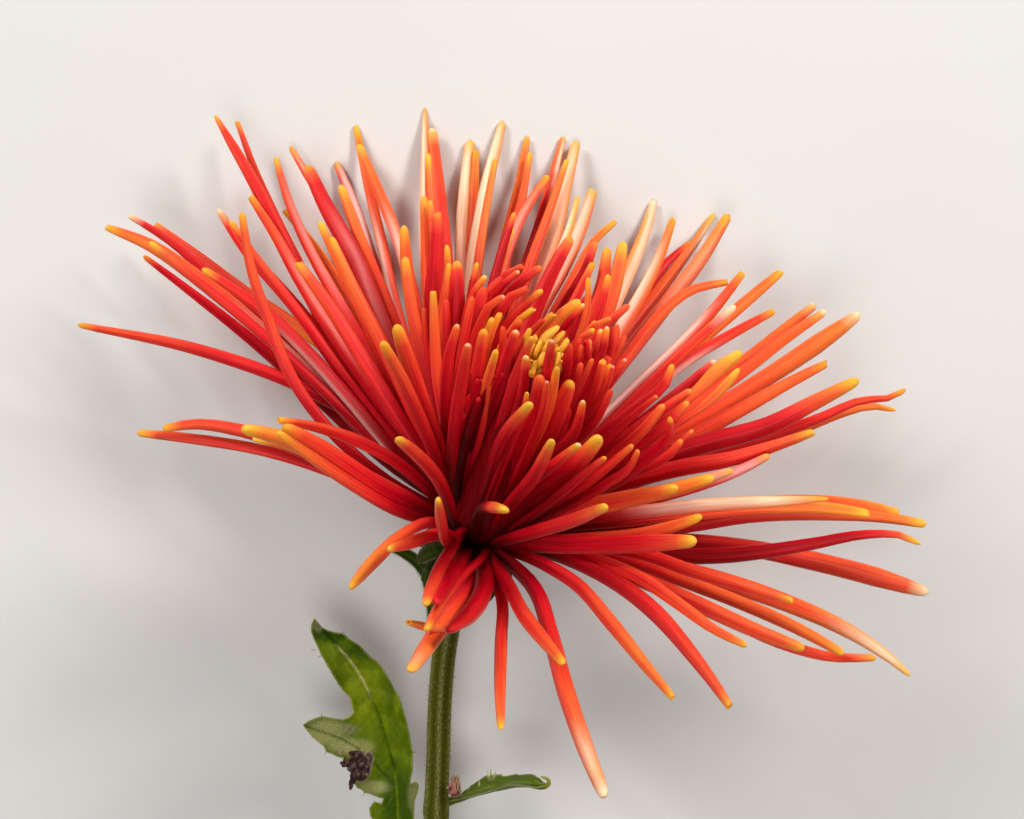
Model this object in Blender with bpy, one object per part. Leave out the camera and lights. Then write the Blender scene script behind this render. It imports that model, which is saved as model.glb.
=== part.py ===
"""One cut chrysanthemum stem that lies on a surface, head tilted towards the viewer above it."""
import math
import random

import bmesh
import bpy
import numpy as np
from mathutils import Vector
from mathutils.geometry import tessellate_polygon

# Lengths in mm, in the row frame: X to the right, Y up in the photograph, Z up from the surface.
MM = 0.001
HEAD_ROOT = Vector((-3.9, 28.0, 30.0))
HEAD_AXIS = Vector((0.270, 0.716, 0.643)).normalized()

# The photograph: scale at the height of the head root, and the camera's distance above it.
ROOT_PX = (474.0, 538.0)
CENTRE_PX = (512.0, 409.5)
PX_PER_MM = 6.0
VIEW_DISTANCE = 500.0

# Core that the florets stand out of: radius and height along the head axis.
CORE_PROFILE = ((5.6, -0.6), (7.2, 1.0), (8.2, 6.0), (7.8, 16.0), (6.8, 26.0), (6.0, 36.0),
                (5.6, 40.2), (4.9, 41.0), (4.3, 40.6), (4.0, 39.0))
CORE_SIDES = 12
ROOT_RADIUS = 4.2
ROOT_RISE = 0.12
ROOT_HEIGHT_LOW = 2.6
ROOT_HEIGHT_HIGH = 5.5
FLORET_THICKNESS = 0.72
TIP_DEPTH = 0.22
NARROW_FLORET = 2.35
LONG_STEPS = (0.0, 0.3, 0.58, 0.82, 1.0)
SHORT_STEPS = (0.0, 0.4, 0.75, 1.0)
WIDTH_ALONG = ((0.0, 0.56), (0.3, 0.88), (0.6, 1.04), (0.82, 0.92), (1.0, 0.52))
SPOON_ALONG = ((0.0, 0.5), (0.4, 0.62), (0.7, 0.8), (0.88, 1.3), (1.0, 0.9))

# Yellow centre, which stands clear of the ray florets all round.
EYE_RADIUS = 3.4
EYE_FLOOR = 39.35
EYE_FLORETS = 16
EYE_FLORET_WIDTH = 1.25
EYE_CLEARANCE = 0.5
EYE_GUARD_HEIGHT = 30.0
EYE_SEED = 11

# Green cup under the head, then its small bracts.
CUP_PROFILE = ((2.7, -8.6), (4.4, -6.8), (6.4, -3.6), (7.1, -1.6), (6.7, -1.05))
CUP_SIDES = 14
BRACTS = 13
BRACT_LENGTH = 8.5
BRACT_WIDTH = 3.2
BRACT_THICKNESS = 0.7
BRACT_DROOP = 24.0

# Stem: pixels and height over the head root, from the head to the cut end.
STEM_PATH = (
    (462, 575, -6.6), (454, 602, -10.0), (446, 640, -12.6), (440, 700, -14.6),
    (438, 760, -16.0), (436, 819, -17.4), (438, 930, -20.0), (444, 1080, -23.6),
    (450, 1270, -28.05),
)
STEM_RADIUS = 2.05
STEM_RIBS = 6
STEM_RIB_DEPTH = 0.16
STEM_SIDES = 12
STEM_STEPS = 18
STEM_START_GAP = 0.3

# Left leaf: outline and middle vein in pixels.
LEAF_LEFT_OUTLINE = (
    (315, 618), (311, 625), (312, 634), (318, 650), (327, 667), (338, 687), (350, 702),
    (353, 711), (343, 718), (322, 717), (303, 725), (312, 736), (327, 751), (350, 761),
    (351, 777), (362, 791), (380, 799), (371, 807), (372, 826), (392, 838), (404, 858),
    (418, 884), (424, 880), (416, 852), (416, 815), (419, 788), (411, 781), (414, 758),
    (410, 733), (402, 703), (386, 675), (360, 648), (338, 633), (322, 627),
)
LEAF_LEFT_VEIN = ((316, 622), (362, 675), (392, 745), (400, 819), (421, 882))
LEAF_LEFT_HEIGHT = -19.6
LEAF_LEFT_RISE = 5.0
LEAF_LEFT_FOLD = 0.16

# Right leaf, seen from its edge, and the narrow bract leaf under the head.
LEAF_RIGHT_LINE = ((452, 801, -17.6), (470, 796, -16.6), (490, 791, -15.0), (515, 785, -13.6),
                   (535, 784, -12.6), (546, 786, -11.6), (546, 780, -10.4))
LEAF_RIGHT_WIDTHS = (1.3, 2.6, 6.0, 9.6, 8.4, 5.4, 1.6)
BRACT_LEAF_LINE = ((431, 622, -11.4), (430, 594, -11.0), (424, 573, -9.6), (410, 558, -7.2),
                   (393, 550, -4.8), (376, 546, -2.6))
BRACT_LEAF_WIDTHS = (1.6, 2.6, 3.6, 4.0, 3.0, 1.0)
LEAF_THICKNESS = 0.7

# Bud in the angle of the right leaf.
BUD_BASE = (452.5, 798, -14.2)
BUD_TOP = (456, 776, -12.6)
BUD_PROFILE = ((0.0, 0.9), (0.35, 1.35), (0.7, 0.95), (1.0, 0.35))
BUD_SIDES = 8

# Long ray florets, read by eye on the photograph: height of the tip over the head root in mm,
# greatest width in mm, then pixels from the tip inward. Height -30 lies on the surface.
UPPER_LEFT = (
    (-8, 2.1, 80, 325, 200, 350, 300, 386, 390, 440),
    (-10, 2.6, 106, 227, 150, 245, 200, 280, 250, 320, 300, 365, 380, 450),
    (-16, 2.0, 130, 216, 170, 241, 215, 280, 262, 320, 310, 370, 390, 450),
    (-22, 2.1, 155, 224, 200, 257, 240, 288, 290, 322, 335, 357, 365, 400, 400, 460),
    (-4, 1.8, 151, 243, 190, 275, 240, 315, 300, 368, 390, 455),
    (-14, 1.9, 145, 257, 190, 291, 240, 330, 300, 382, 390, 465),
    (-3, 2.2, 204, 270, 230, 287, 265, 312, 300, 345, 350, 400, 400, 460),
    (-18, 2.3, 216, 117, 258, 190, 290, 255, 330, 335, 390, 440),
    (-24, 1.7, 237, 121, 255, 170, 275, 215, 300, 265, 345, 345, 400, 440),
    (-22, 2.0, 276, 159, 290, 205, 310, 250, 335, 295, 365, 345, 410, 440),
    (-27, 2.0, 291, 148, 310, 180, 340, 225, 370, 285, 400, 350, 430, 440),
    (-18, 3.2, 308, 168, 325, 205, 350, 250, 375, 310, 400, 370, 430, 445),
    (-12, 2.4, 250, 196, 275, 235, 300, 280, 335, 335, 375, 395, 415, 460),
    (-14, 2.4, 219, 211, 245, 250, 285, 295, 330, 350, 390, 430),
    (-8, 1.8, 231, 222, 250, 250, 300, 315, 350, 385),
    (8, 1.9, 242, 214, 250, 265, 270, 325, 290, 375, 325, 425, 380, 475),
    (-25, 1.6, 284, 210, 310, 240, 350, 300, 410, 420),
    (-8, 1.9, 320, 223, 340, 265, 365, 320, 410, 420),
    (0, 2.2, 332, 239, 355, 290, 385, 350, 425, 440),
    (2, 2.4, 298, 263, 325, 300, 360, 355, 400, 420),
    (-30, 2.3, 337, 164, 352, 200, 372, 260, 392, 315, 425, 410),
    (-20, 2.3, 341, 187, 358, 235, 385, 300, 420, 400),
    (-30, 1.9, 356, 127, 368, 185, 382, 245, 395, 305, 430, 410),
    (-26, 2.1, 359, 146, 380, 195, 400, 245, 412, 290, 440, 400),
    (2, 2.5, 404, 228, 408, 275, 418, 330, 435, 400, 452, 460),
    (10, 2.2, 405, 258, 410, 300, 420, 350, 438, 410),
    (30, 2.2, 383, 343, 402, 380, 420, 420, 440, 470),
    (24, 2.7, 397, 327, 408, 360, 420, 395, 440, 450),
    (38, 2.2, 398, 439, 415, 453, 435, 475),
)
TOP = (
    (-30, 2.6, 425, 110, 426, 170, 426, 230, 430, 290, 448, 400),
    (-28, 2.4, 432, 130, 438, 185, 444, 240, 450, 300, 460, 400),
    (-18, 1.9, 428, 155, 430, 200, 434, 260, 445, 350),
    (-8, 2.3, 424, 198, 426, 240, 428, 290, 440, 380),
    (-6, 1.7, 430, 202, 434, 250, 442, 340),
    (0, 3.3, 437, 213, 437, 250, 434, 290, 440, 360, 452, 440),
    (4, 1.9, 447, 247, 449, 290, 452, 350, 460, 430),
    (12, 1.7, 449, 264, 444, 295, 440, 330, 446, 400),
    (20, 1.9, 433, 291, 434, 325, 436, 365, 446, 430),
    (10, 3.2, 457, 264, 457, 300, 456, 340, 462, 420),
    (-30, 2.8, 470, 143, 466, 190, 463, 240, 464, 300, 468, 400),
    (-28, 1.7, 476, 150, 474, 200, 471, 260, 470, 340),
    (-30, 2.8, 502, 124, 489, 175, 479, 225, 472, 280, 470, 380),
    (-22, 1.6, 495, 160, 486, 210, 478, 265, 474, 340),
    (-30, 2.1, 527, 138, 519, 185, 506, 240, 495, 285, 480, 400),
    (-26, 1.9, 530, 154, 522, 200, 508, 250, 490, 350),
    (-8, 1.9, 514, 214, 503, 250, 492, 290, 480, 400),
    (-12, 1.7, 513, 228, 502, 262, 488, 330),
    (-24, 2.2, 547, 177, 525, 210, 505, 255, 485, 340),
    (-30, 2.2, 563, 138, 552, 180, 540, 225, 522, 280, 490, 400),
    (-28, 2.6, 576, 143, 565, 190, 553, 240, 538, 280, 500, 390),
    (-24, 1.8, 567, 160, 550, 210, 530, 265, 495, 380),
    (-16, 1.6, 578, 197, 569, 230, 555, 265, 520, 350),
    (-24, 2.5, 593, 190, 580, 230, 562, 270, 540, 310, 505, 400),
    (-4, 2.6, 570, 239, 553, 270, 535, 310, 505, 400),
    (-8, 2.2, 595, 243, 583, 275, 562, 310, 520, 400),
    (-18, 1.6, 615, 222, 595, 240, 575, 275, 550, 320, 515, 400),
    (-2, 1.7, 593, 263, 580, 290, 560, 330, 520, 420),
    (-4, 2.4, 607, 250, 602, 285, 585, 330, 545, 400),
    (4, 1.7, 608, 276, 602, 305, 585, 345),
    (-10, 2.3, 623, 244, 615, 285, 598, 335, 550, 420),
    (8, 1.6, 588, 279, 587, 310, 575, 350),
)
UPPER_RIGHT = (
    (-30, 2.4, 654, 202, 642, 240, 625, 280, 600, 330, 540, 430),
    (-26, 2.4, 673, 219, 658, 260, 638, 300, 610, 345, 545, 440),
    (-28, 2.0, 690, 243, 668, 262, 640, 300, 600, 360),
    (-30, 2.4, 713, 216, 690, 250, 660, 290, 625, 335, 555, 430),
    (-22, 2.8, 728, 216, 702, 258, 670, 300, 635, 345, 560, 440),
    (-14, 2.0, 728, 282, 692, 290, 655, 320, 625, 360, 570, 430),
    (-10, 2.2, 743, 273, 712, 312, 675, 352, 640, 385, 600, 423),
    (-16, 2.2, 781, 272, 740, 307, 695, 345, 650, 385, 590, 440),
    (-2, 2.0, 734, 307, 705, 333, 665, 370, 600, 435),
    (-10, 1.9, 774, 311, 730, 335, 685, 362, 640, 400, 580, 455),
    (-12, 2.2, 815, 305, 780, 333, 740, 365, 690, 400, 600, 455),
    (-8, 2.6, 824, 312, 785, 338, 745, 368, 700, 400, 610, 460),
    (-6, 2.8, 858, 315, 815, 345, 770, 375, 720, 405, 620, 460),
    (0, 2.5, 827, 363, 790, 382, 745, 407, 700, 432, 620, 470),
    (8, 3.2, 856, 381, 815, 402, 770, 425, 700, 445, 620, 475),
    (0, 1.9, 904, 390, 895, 396, 860, 401, 820, 418, 760, 440, 660, 475),
    (-4, 2.0, 894, 410, 870, 406, 835, 415, 790, 433, 700, 460, 620, 480),
    (12, 2.7, 814, 432, 780, 444, 735, 458, 680, 468, 600, 490),
    (6, 1.8, 714, 362, 690, 383, 650, 415, 590, 460),
    (12, 2.0, 672, 366, 665, 385, 640, 405, 590, 445),
    (16, 1.6, 657, 396, 640, 410, 600, 445),
    (22, 2.0, 663, 406, 645, 428, 615, 455, 570, 490),
    (28, 2.4, 670, 419, 669, 437, 650, 455, 620, 478, 580, 495),
    (22, 1.8, 681, 441, 668, 456, 640, 470, 590, 492),
    (16, 1.6, 692, 431, 672, 450, 630, 472),
    (14, 1.8, 690, 391, 670, 405, 620, 440),
    (16, 2.0, 687, 403, 672, 420, 625, 455),
    (34, 1.5, 638, 451, 630, 467, 605, 485),
    (32, 1.6, 632, 446, 618, 458, 585, 485),
    (38, 1.7, 605, 458, 592, 468, 560, 495),
)
RIGHT = (
    (32, 2.4, 676, 488, 640, 495, 600, 503, 555, 515),
    (24, 2.4, 712, 478, 680, 488, 630, 500, 570, 515),
    (18, 2.3, 731, 471, 700, 481, 650, 495, 580, 512),
    (12, 1.9, 768, 456, 735, 472, 690, 488, 600, 510),
    (16, 2.2, 826, 499, 770, 502, 710, 505, 650, 511, 560, 522),
    (10, 2.3, 869, 514, 820, 508, 760, 508, 690, 514, 580, 525),
    (6, 2.4, 899, 513, 860, 505, 810, 502, 740, 506, 650, 518),
    (8, 2.1, 924, 524, 880, 517, 820, 514, 750, 516, 680, 527, 600, 530),
    (12, 3.0, 918, 543, 900, 535, 870, 534, 810, 544, 750, 553, 680, 556, 600, 548),
    (4, 3.0, 926, 592, 870, 575, 810, 560, 750, 548, 680, 540, 600, 538),
    (34, 2.1, 793, 601, 745, 587, 695, 572, 640, 553, 570, 545),
    (30, 2.1, 842, 653, 800, 630, 740, 603, 680, 580, 620, 558, 560, 548),
    (22, 3.2, 908, 674, 890, 652, 840, 624, 785, 602, 720, 580, 640, 560),
    (38, 2.6, 802, 648, 755, 630, 700, 605, 650, 583, 600, 563, 550, 548),
    (30, 2.0, 874, 658, 830, 657, 780, 643, 720, 615, 650, 585),
    (42, 2.1, 745, 645, 715, 630, 680, 605, 640, 578, 590, 558),
    (46, 2.8, 730, 707, 715, 685, 690, 652, 655, 612, 610, 578, 560, 555),
    (44, 2.2, 606, 507, 575, 520, 535, 532),
    (36, 2.4, 700, 517, 680, 524, 640, 535, 580, 540),
    (38, 2.8, 694, 541, 650, 543, 600, 545, 550, 545),
)
BOTTOM = (
    (50, 2.3, 673, 698, 645, 665, 610, 622, 575, 583, 540, 562),
    (57, 2.9, 604, 795, 585, 748, 565, 690, 550, 635, 535, 590),
    (50, 2.3, 563, 663, 545, 642, 522, 612, 508, 585),
    (54, 2.0, 501, 728, 500, 690, 501, 640, 502, 600),
    (46, 2.8, 411, 670, 428, 645, 450, 612, 470, 580),
    (50, 2.2, 427, 629, 440, 605, 460, 578, 480, 552),
    (48, 2.6, 426, 606, 435, 580, 450, 555, 462, 538),
    (42, 2.4, 408, 622, 440, 628, 470, 618, 486, 590, 484, 568),
    (40, 2.2, 351, 587, 375, 560, 400, 537, 430, 522),
    (46, 2.2, 389, 549, 410, 543, 435, 535),
    (46, 2.4, 438, 500, 441, 520, 447, 540),
    (58, 2.4, 499, 508, 490, 517),
)
LEFT = (
    (8, 1.8, 139, 433, 200, 440, 260, 450, 330, 472, 400, 505),
    (10, 2.2, 163, 429, 190, 424, 240, 430, 300, 450, 370, 485),
    (24, 2.8, 244, 429, 275, 436, 320, 455, 380, 485),
    (20, 2.0, 278, 420, 320, 428, 360, 442, 410, 472),
    (30, 2.0, 279, 433, 310, 456, 350, 483, 400, 512),
    (14, 1.6, 254, 439, 300, 450, 360, 480),
    (26, 3.2, 285, 428, 320, 448, 360, 475, 410, 505),
)
# Broad open florets, widest close to the tip
SPOONS = (
    (12, 2.9, 740, 353, 718, 370, 690, 398, 625, 440),
    (15, 2.9, 738, 370, 716, 396, 690, 415, 630, 450),
)
# Florets standing round the centre: height of the tip along the head axis, width, then pixels
STANDING = (
    (41, 3.0, 483, 290, 474, 330, 467, 390),
    (41, 2.0, 468, 345, 462, 380, 454, 440),
    (39, 1.8, 482, 341, 478, 385, 470, 450),
    (40, 1.8, 496, 351, 488, 380, 480, 430),
    (38, 2.0, 457, 326, 449, 355, 446, 410),
    (36, 1.5, 446, 301, 447, 340, 450, 400),
    (36, 1.4, 424, 309, 425, 340, 440, 420),
    (41, 1.8, 500, 314, 490, 335, 478, 385),
    (41, 1.7, 492, 319, 485, 340, 474, 390),
    (40, 1.8, 503, 328, 503, 355, 490, 420),
    (44, 2.3, 516, 332, 507, 362, 494, 420),
    (48.5, 1.9, 532, 338, 520, 365, 500, 430),
    (45, 1.9, 526, 357, 524, 385, 508, 440),
    (43, 2.6, 540, 377, 535, 410, 518, 460),
    (49.5, 1.8, 552, 341, 547, 370, 525, 430),
    (45, 2.0, 557, 368, 551, 400, 530, 450),
    (42, 3.0, 570, 383, 557, 415, 535, 460),
    (42, 2.3, 530, 404, 507, 433, 488, 485),
    (40, 2.3, 552, 441, 535, 475, 505, 512),
    (41, 3.0, 599, 438, 575, 465, 530, 500),
    (40, 1.8, 579, 445, 560, 460, 520, 495),
    (41, 2.2, 583, 402, 575, 430, 540, 465),
    (40, 2.0, 611, 391, 595, 420, 550, 460),
    (41, 2.2, 603, 361, 593, 400, 555, 445),
    (40, 2.1, 601, 331, 594, 370, 565, 420),
    (40, 1.9, 610, 366, 600, 395, 560, 440),
    (39, 1.9, 617, 326, 610, 360, 570, 420),
    (39, 1.8, 628, 306, 608, 323, 585, 350),
    (38, 1.6, 625, 337, 615, 360, 580, 410),
    (38, 1.6, 625, 360, 612, 380, 575, 430),
    (40, 1.7, 596, 322, 585, 335, 570, 360),
    (41, 1.8, 593, 330, 578, 342, 565, 365),
    (41, 2.0, 580, 340, 573, 360, 560, 390),
    (42, 1.8, 570, 345, 567, 370, 555, 400),
    (41, 1.9, 587, 340, 587, 370, 570, 400),
    (41, 1.7, 592, 360, 580, 385, 560, 420),
    (44, 2.4, 540, 268, 522, 280, 506, 300),
    (43, 1.9, 523, 266, 505, 275, 492, 295),
    (42, 1.8, 501, 279, 490, 290, 482, 305),
    (43, 1.9, 541, 291, 528, 302, 510, 320),
    (43, 1.9, 528, 289, 512, 296, 500, 312),
    (42, 2.0, 503, 297, 490, 305, 480, 325),
    (42, 1.9, 534, 309, 522, 318, 510, 335),
    (42, 2.6, 578, 302, 562, 315, 548, 335),
    (42, 2.2, 554, 314, 543, 325, 530, 345),
    (38, 1.5, 477, 264, 472, 285, 468, 330),
    (39, 1.6, 485, 277, 473, 295, 465, 330),
    (41, 2.6, 520, 322, 512, 335, 505, 360),
    (43, 1.6, 518, 272, 505, 282, 494, 298),
    (43, 1.5, 529, 330, 524, 337, 518, 350),
    (43, 1.6, 557, 329, 548, 338, 540, 350),
    (43, 1.5, 563, 334, 558, 345, 552, 358),
    (42.5, 1.4, 567, 341, 563, 350, 556, 362),
    (43, 1.8, 547, 382, 544, 405, 530, 445),
    (43, 1.4, 527, 393, 524, 410, 512, 440),
    (42, 1.5, 610, 319, 600, 322, 585, 335),
    (41, 1.6, 607, 328, 604, 345, 590, 375),
    (41, 1.5, 609, 357, 606, 372, 590, 405),
    (41, 1.5, 613, 367, 607, 385, 585, 420),
    (42, 1.4, 581, 346, 578, 360, 565, 385),
    (41, 2.2, 484, 331, 478, 370, 468, 420),
    (40, 1.6, 472, 298, 466, 330, 458, 380),
    (42, 1.6, 583, 305, 570, 320, 555, 338),
)
LONG_REGIONS = (UPPER_LEFT, TOP, UPPER_RIGHT, RIGHT, BOTTOM, LEFT)


def row_point(px, py, height):
    """Return the row frame point seen at a pixel, at a height over the head root."""
    nearness = (VIEW_DISTANCE - height) / VIEW_DISTANCE
    across = (px - CENTRE_PX[0]) * nearness - (ROOT_PX[0] - CENTRE_PX[0])
    down = (py - CENTRE_PX[1]) * nearness - (ROOT_PX[1] - CENTRE_PX[1])
    return HEAD_ROOT + Vector((across / PX_PER_MM, -down / PX_PER_MM, height))


def height_at(px, py, along_axis):
    """Return the height over the head root of the pixel's point at a place along the head axis."""
    height = 20.0
    for _ in range(12):
        offset = row_point(px, py, height) - HEAD_ROOT
        level = offset.x * HEAD_AXIS.x + offset.y * HEAD_AXIS.y
        height = (along_axis - level) / HEAD_AXIS.z
    return height


def head_basis():
    """Return two unit vectors across the head axis."""
    side = Vector((0.0, 0.0, 1.0)).cross(HEAD_AXIS).normalized()
    return side, HEAD_AXIS.cross(side).normalized()


def head_point(angle, radius, along):
    """Return a point given by its angle and radius round the head axis and its place along it."""
    side, over = head_basis()
    across = side * math.cos(angle) + over * math.sin(angle)
    return HEAD_ROOT + across * radius + HEAD_AXIS * along


def axis_parts(point):
    """Return a point's place along the head axis and its offset across it."""
    offset = point - HEAD_ROOT
    along = offset.dot(HEAD_AXIS)
    return along, offset - HEAD_AXIS * along


def floret_points(row, standing):
    """Return the floret's line from its root in the core to its tip."""
    pixels = [(row[i], row[i + 1]) for i in range(2, len(row), 2)][::-1]
    tip_height = height_at(*pixels[-1], row[0]) if standing else float(row[0])
    lengths = [0.0]
    last = ROOT_PX
    for pixel in pixels:
        lengths.append(lengths[-1] + math.dist(last, pixel))
        last = pixel
    points = []
    for pixel, length in zip(pixels, lengths[1:]):
        points.append(row_point(*pixel, tip_height * length / lengths[-1]))
    along, across = axis_parts(points[0])
    rooted = min(max(along * ROOT_RISE, ROOT_HEIGHT_LOW), ROOT_HEIGHT_HIGH)
    root = HEAD_ROOT + across.normalized() * ROOT_RADIUS + HEAD_AXIS * rooted
    return [root] + [keep_in_place(point, row[1]) for point in points]


def keep_in_place(point, width):
    """Keep a floret's point above the surface and clear of the yellow centre."""
    along, across = axis_parts(point)
    clear = EYE_RADIUS + EYE_CLEARANCE + width * 0.62
    if along > EYE_GUARD_HEIGHT and across.length < clear:
        point = HEAD_ROOT + HEAD_AXIS * along + across.normalized() * clear
    point.z = max(point.z, width * TIP_DEPTH)
    return point


def keep_as_is(point, width):
    """Leave a floret's point where it is."""
    return point


def smooth_line(points, steps):
    """Return points of a smooth line through the given ones, at parts of its length."""
    knots = np.array([tuple(point) for point in points])
    spans = np.linalg.norm(np.diff(knots, axis=0), axis=1)
    places = np.concatenate(([0.0], np.cumsum(spans)))
    slopes = np.gradient(knots, places, axis=0)
    line = []
    for step in steps:
        at = step * places[-1]
        i = min(int(np.searchsorted(places, at, side="right")) - 1, len(spans) - 1)
        span = spans[i]
        t = (at - places[i]) / span
        start = knots[i] * (2 * t ** 3 - 3 * t ** 2 + 1) + slopes[i] * span * (t ** 3 - 2 * t ** 2 + t)
        end = knots[i + 1] * (3 * t ** 2 - 2 * t ** 3) + slopes[i + 1] * span * (t ** 3 - t ** 2)
        line.append(Vector(start + end))
    return line


def profile_at(profile, place):
    """Return the profile's value at a place along it."""
    return float(np.interp(place, [row[0] for row in profile], [row[1] for row in profile]))


def line_direction(line, i):
    """Return the line's direction at one of its points."""
    return (line[min(i + 1, len(line) - 1)] - line[max(i - 1, 0)]).normalized()


def add_ring(bm, centre, direction, across, half_width, half_depth, sides, turn=0.0):
    """Add one ring of vertices round a centre and return them."""
    over = direction.cross(across).normalized()
    ring = []
    for k in range(sides):
        angle = math.tau * k / sides + turn
        offset = across * (math.cos(angle) * half_width) + over * (math.sin(angle) * half_depth)
        ring.append(bm.verts.new((centre + offset) * MM))
    return ring


def bridge_rings(bm, rings):
    """Join following rings with faces."""
    for low, high in zip(rings, rings[1:]):
        count = len(low)
        for k in range(count):
            bm.faces.new((low[k], low[(k + 1) % count], high[(k + 1) % count], high[k]))


def close_ring(bm, ring, point, forward):
    """Close a ring with faces to one point."""
    peak = bm.verts.new(point * MM)
    count = len(ring)
    for k in range(count):
        corners = (ring[k], ring[(k + 1) % count], peak)
        bm.faces.new(corners if forward else corners[::-1])


def finish_mesh(bm, name, collection):
    """Turn a mesh outward and place it in a collection as an object."""
    bmesh.ops.triangulate(bm, faces=bm.faces[:])
    bmesh.ops.recalc_face_normals(bm, faces=bm.faces[:])
    mesh = bpy.data.meshes.new(name)
    bm.to_mesh(mesh)
    bm.free()
    thing = bpy.data.objects.new(name, mesh)
    collection.objects.link(thing)
    return thing


def add_floret(points, width, profile, steps, sides, placing, collection):
    """Add one closed floret along a line."""
    line = [placing(point, width) for point in smooth_line(points, steps)]
    bm = bmesh.new()
    rings = []
    for i, centre in enumerate(line):
        direction = line_direction(line, i)
        across = direction.cross(HEAD_AXIS)
        if across.length < 0.15:
            across = direction.cross(Vector((1.0, 0.0, 0.0)))
        across.normalize()
        half = 0.5 * width * profile_at(profile, steps[i])
        rings.append(add_ring(bm, centre, direction, across, half, half * FLORET_THICKNESS, sides))
    bridge_rings(bm, rings)
    close_ring(bm, rings[0], line[0], False)
    close_ring(bm, rings[-1], line[-1] + line_direction(line, len(line) - 1) * width * 0.22, True)
    return finish_mesh(bm, "floret", collection)


def add_turned(profile, sides, name, collection, closing):
    """Add a body turned round the head axis, closed at both ends."""
    bm = bmesh.new()
    rings = []
    for radius, along in profile:
        ring = []
        for k in range(sides):
            ring.append(bm.verts.new(head_point(math.tau * k / sides, radius, along) * MM))
        rings.append(ring)
    bridge_rings(bm, rings)
    close_ring(bm, rings[0], head_point(0.0, 0.0, closing[0]), False)
    close_ring(bm, rings[-1], head_point(0.0, 0.0, closing[1]), True)
    return finish_mesh(bm, name, collection)


def joined(base, collection, solver):
    """Join every object of a collection to the base, then remove them."""
    union = base.modifiers.new("join", "BOOLEAN")
    union.operation = "UNION"
    union.operand_type = "COLLECTION"
    union.collection = collection
    union.solver = solver
    graph = bpy.context.evaluated_depsgraph_get()
    mesh = bpy.data.meshes.new_from_object(base.evaluated_get(graph))
    base.modifiers.clear()
    base.data = mesh
    for thing in list(collection.objects):
        bpy.data.objects.remove(thing, do_unlink=True)
    bpy.data.collections.remove(collection)
    drop_pockets(base)
    return base


def drop_pockets(thing):
    """Fill the sealed pockets that crossing florets leave, so that one outer skin stays."""
    bm = bmesh.new()
    bm.from_mesh(thing.data)
    bm.faces.ensure_lookup_table()
    waiting = set(bm.faces)
    skins = []
    while waiting:
        skin = [waiting.pop()]
        for face in skin:
            near = {other for edge in face.edges for other in edge.link_faces}
            found = near & waiting
            skin.extend(found)
            waiting -= found
        skins.append(skin)
    skins.sort(key=len)
    for skin in skins[:-1]:
        bmesh.ops.delete(bm, geom=skin, context="FACES")
    bmesh.ops.triangulate(bm, faces=bm.faces[:])
    bm.to_mesh(thing.data)
    bm.free()


def new_collection(name):
    """Add a collection to the scene."""
    collection = bpy.data.collections.new(name)
    bpy.context.scene.collection.children.link(collection)
    return collection


def make_ray_florets():
    """Build the red florets as one body with their core."""
    core = add_turned(CORE_PROFILE, CORE_SIDES, "ray_florets", bpy.context.scene.collection,
                      (CORE_PROFILE[0][1], CORE_PROFILE[-1][1]))
    parts = new_collection("ray_parts")
    for region in LONG_REGIONS:
        for row in region:
            sides = 4 if row[1] < NARROW_FLORET else 5
            points = floret_points(row, False)
            add_floret(points, row[1], WIDTH_ALONG, LONG_STEPS, sides, keep_in_place, parts)
    for row in SPOONS:
        add_floret(floret_points(row, False), row[1], SPOON_ALONG, LONG_STEPS, 5, keep_in_place, parts)
    for row in STANDING:
        add_floret(floret_points(row, True), row[1], WIDTH_ALONG, SHORT_STEPS, 4, keep_in_place, parts)
    return joined(core, parts, "MANIFOLD")


def make_disc_florets():
    """Build the yellow centre as one body."""
    profile = ((EYE_RADIUS - 0.5, EYE_FLOOR), (EYE_RADIUS, EYE_FLOOR + 0.8),
               (EYE_RADIUS - 0.4, EYE_FLOOR + 2.4))
    base = add_turned(profile, 12, "disc_florets", bpy.context.scene.collection,
                      (EYE_FLOOR, EYE_FLOOR + 3.0))
    parts = new_collection("eye_parts")
    draw = random.Random(EYE_SEED)
    for k in range(EYE_FLORETS):
        radius = (EYE_RADIUS - 1.15) * math.sqrt((k + 0.4) / EYE_FLORETS)
        angle = k * 2.39996
        top = EYE_FLOOR + 4.2 + radius * 0.5 + draw.uniform(-0.4, 0.4)
        points = [head_point(angle, radius * 0.8, EYE_FLOOR + 1.2), head_point(angle, radius, top)]
        add_floret(points, EYE_FLORET_WIDTH, WIDTH_ALONG, SHORT_STEPS, 4, keep_as_is, parts)
    return joined(base, parts, "MANIFOLD")


def make_involucre():
    """Build the green cup and its bracts as one body."""
    cup = add_turned(CUP_PROFILE, CUP_SIDES, "involucre", bpy.context.scene.collection,
                     (CUP_PROFILE[0][1], CUP_PROFILE[-1][1]))
    parts = new_collection("bract_parts")
    for k in range(BRACTS):
        angle = math.tau * (k + 0.3) / BRACTS
        points = []
        for part in (0.0, 0.5, 1.0):
            reach = 4.6 + BRACT_LENGTH * part * math.cos(math.radians(BRACT_DROOP))
            fall = -2.2 - BRACT_LENGTH * part * math.sin(math.radians(BRACT_DROOP))
            points.append(head_point(angle, reach, fall))
        add_blade(points, (BRACT_WIDTH, BRACT_WIDTH, 0.9), BRACT_THICKNESS, HEAD_AXIS, "bract", parts)
    return joined(cup, parts, "MANIFOLD")


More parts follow.
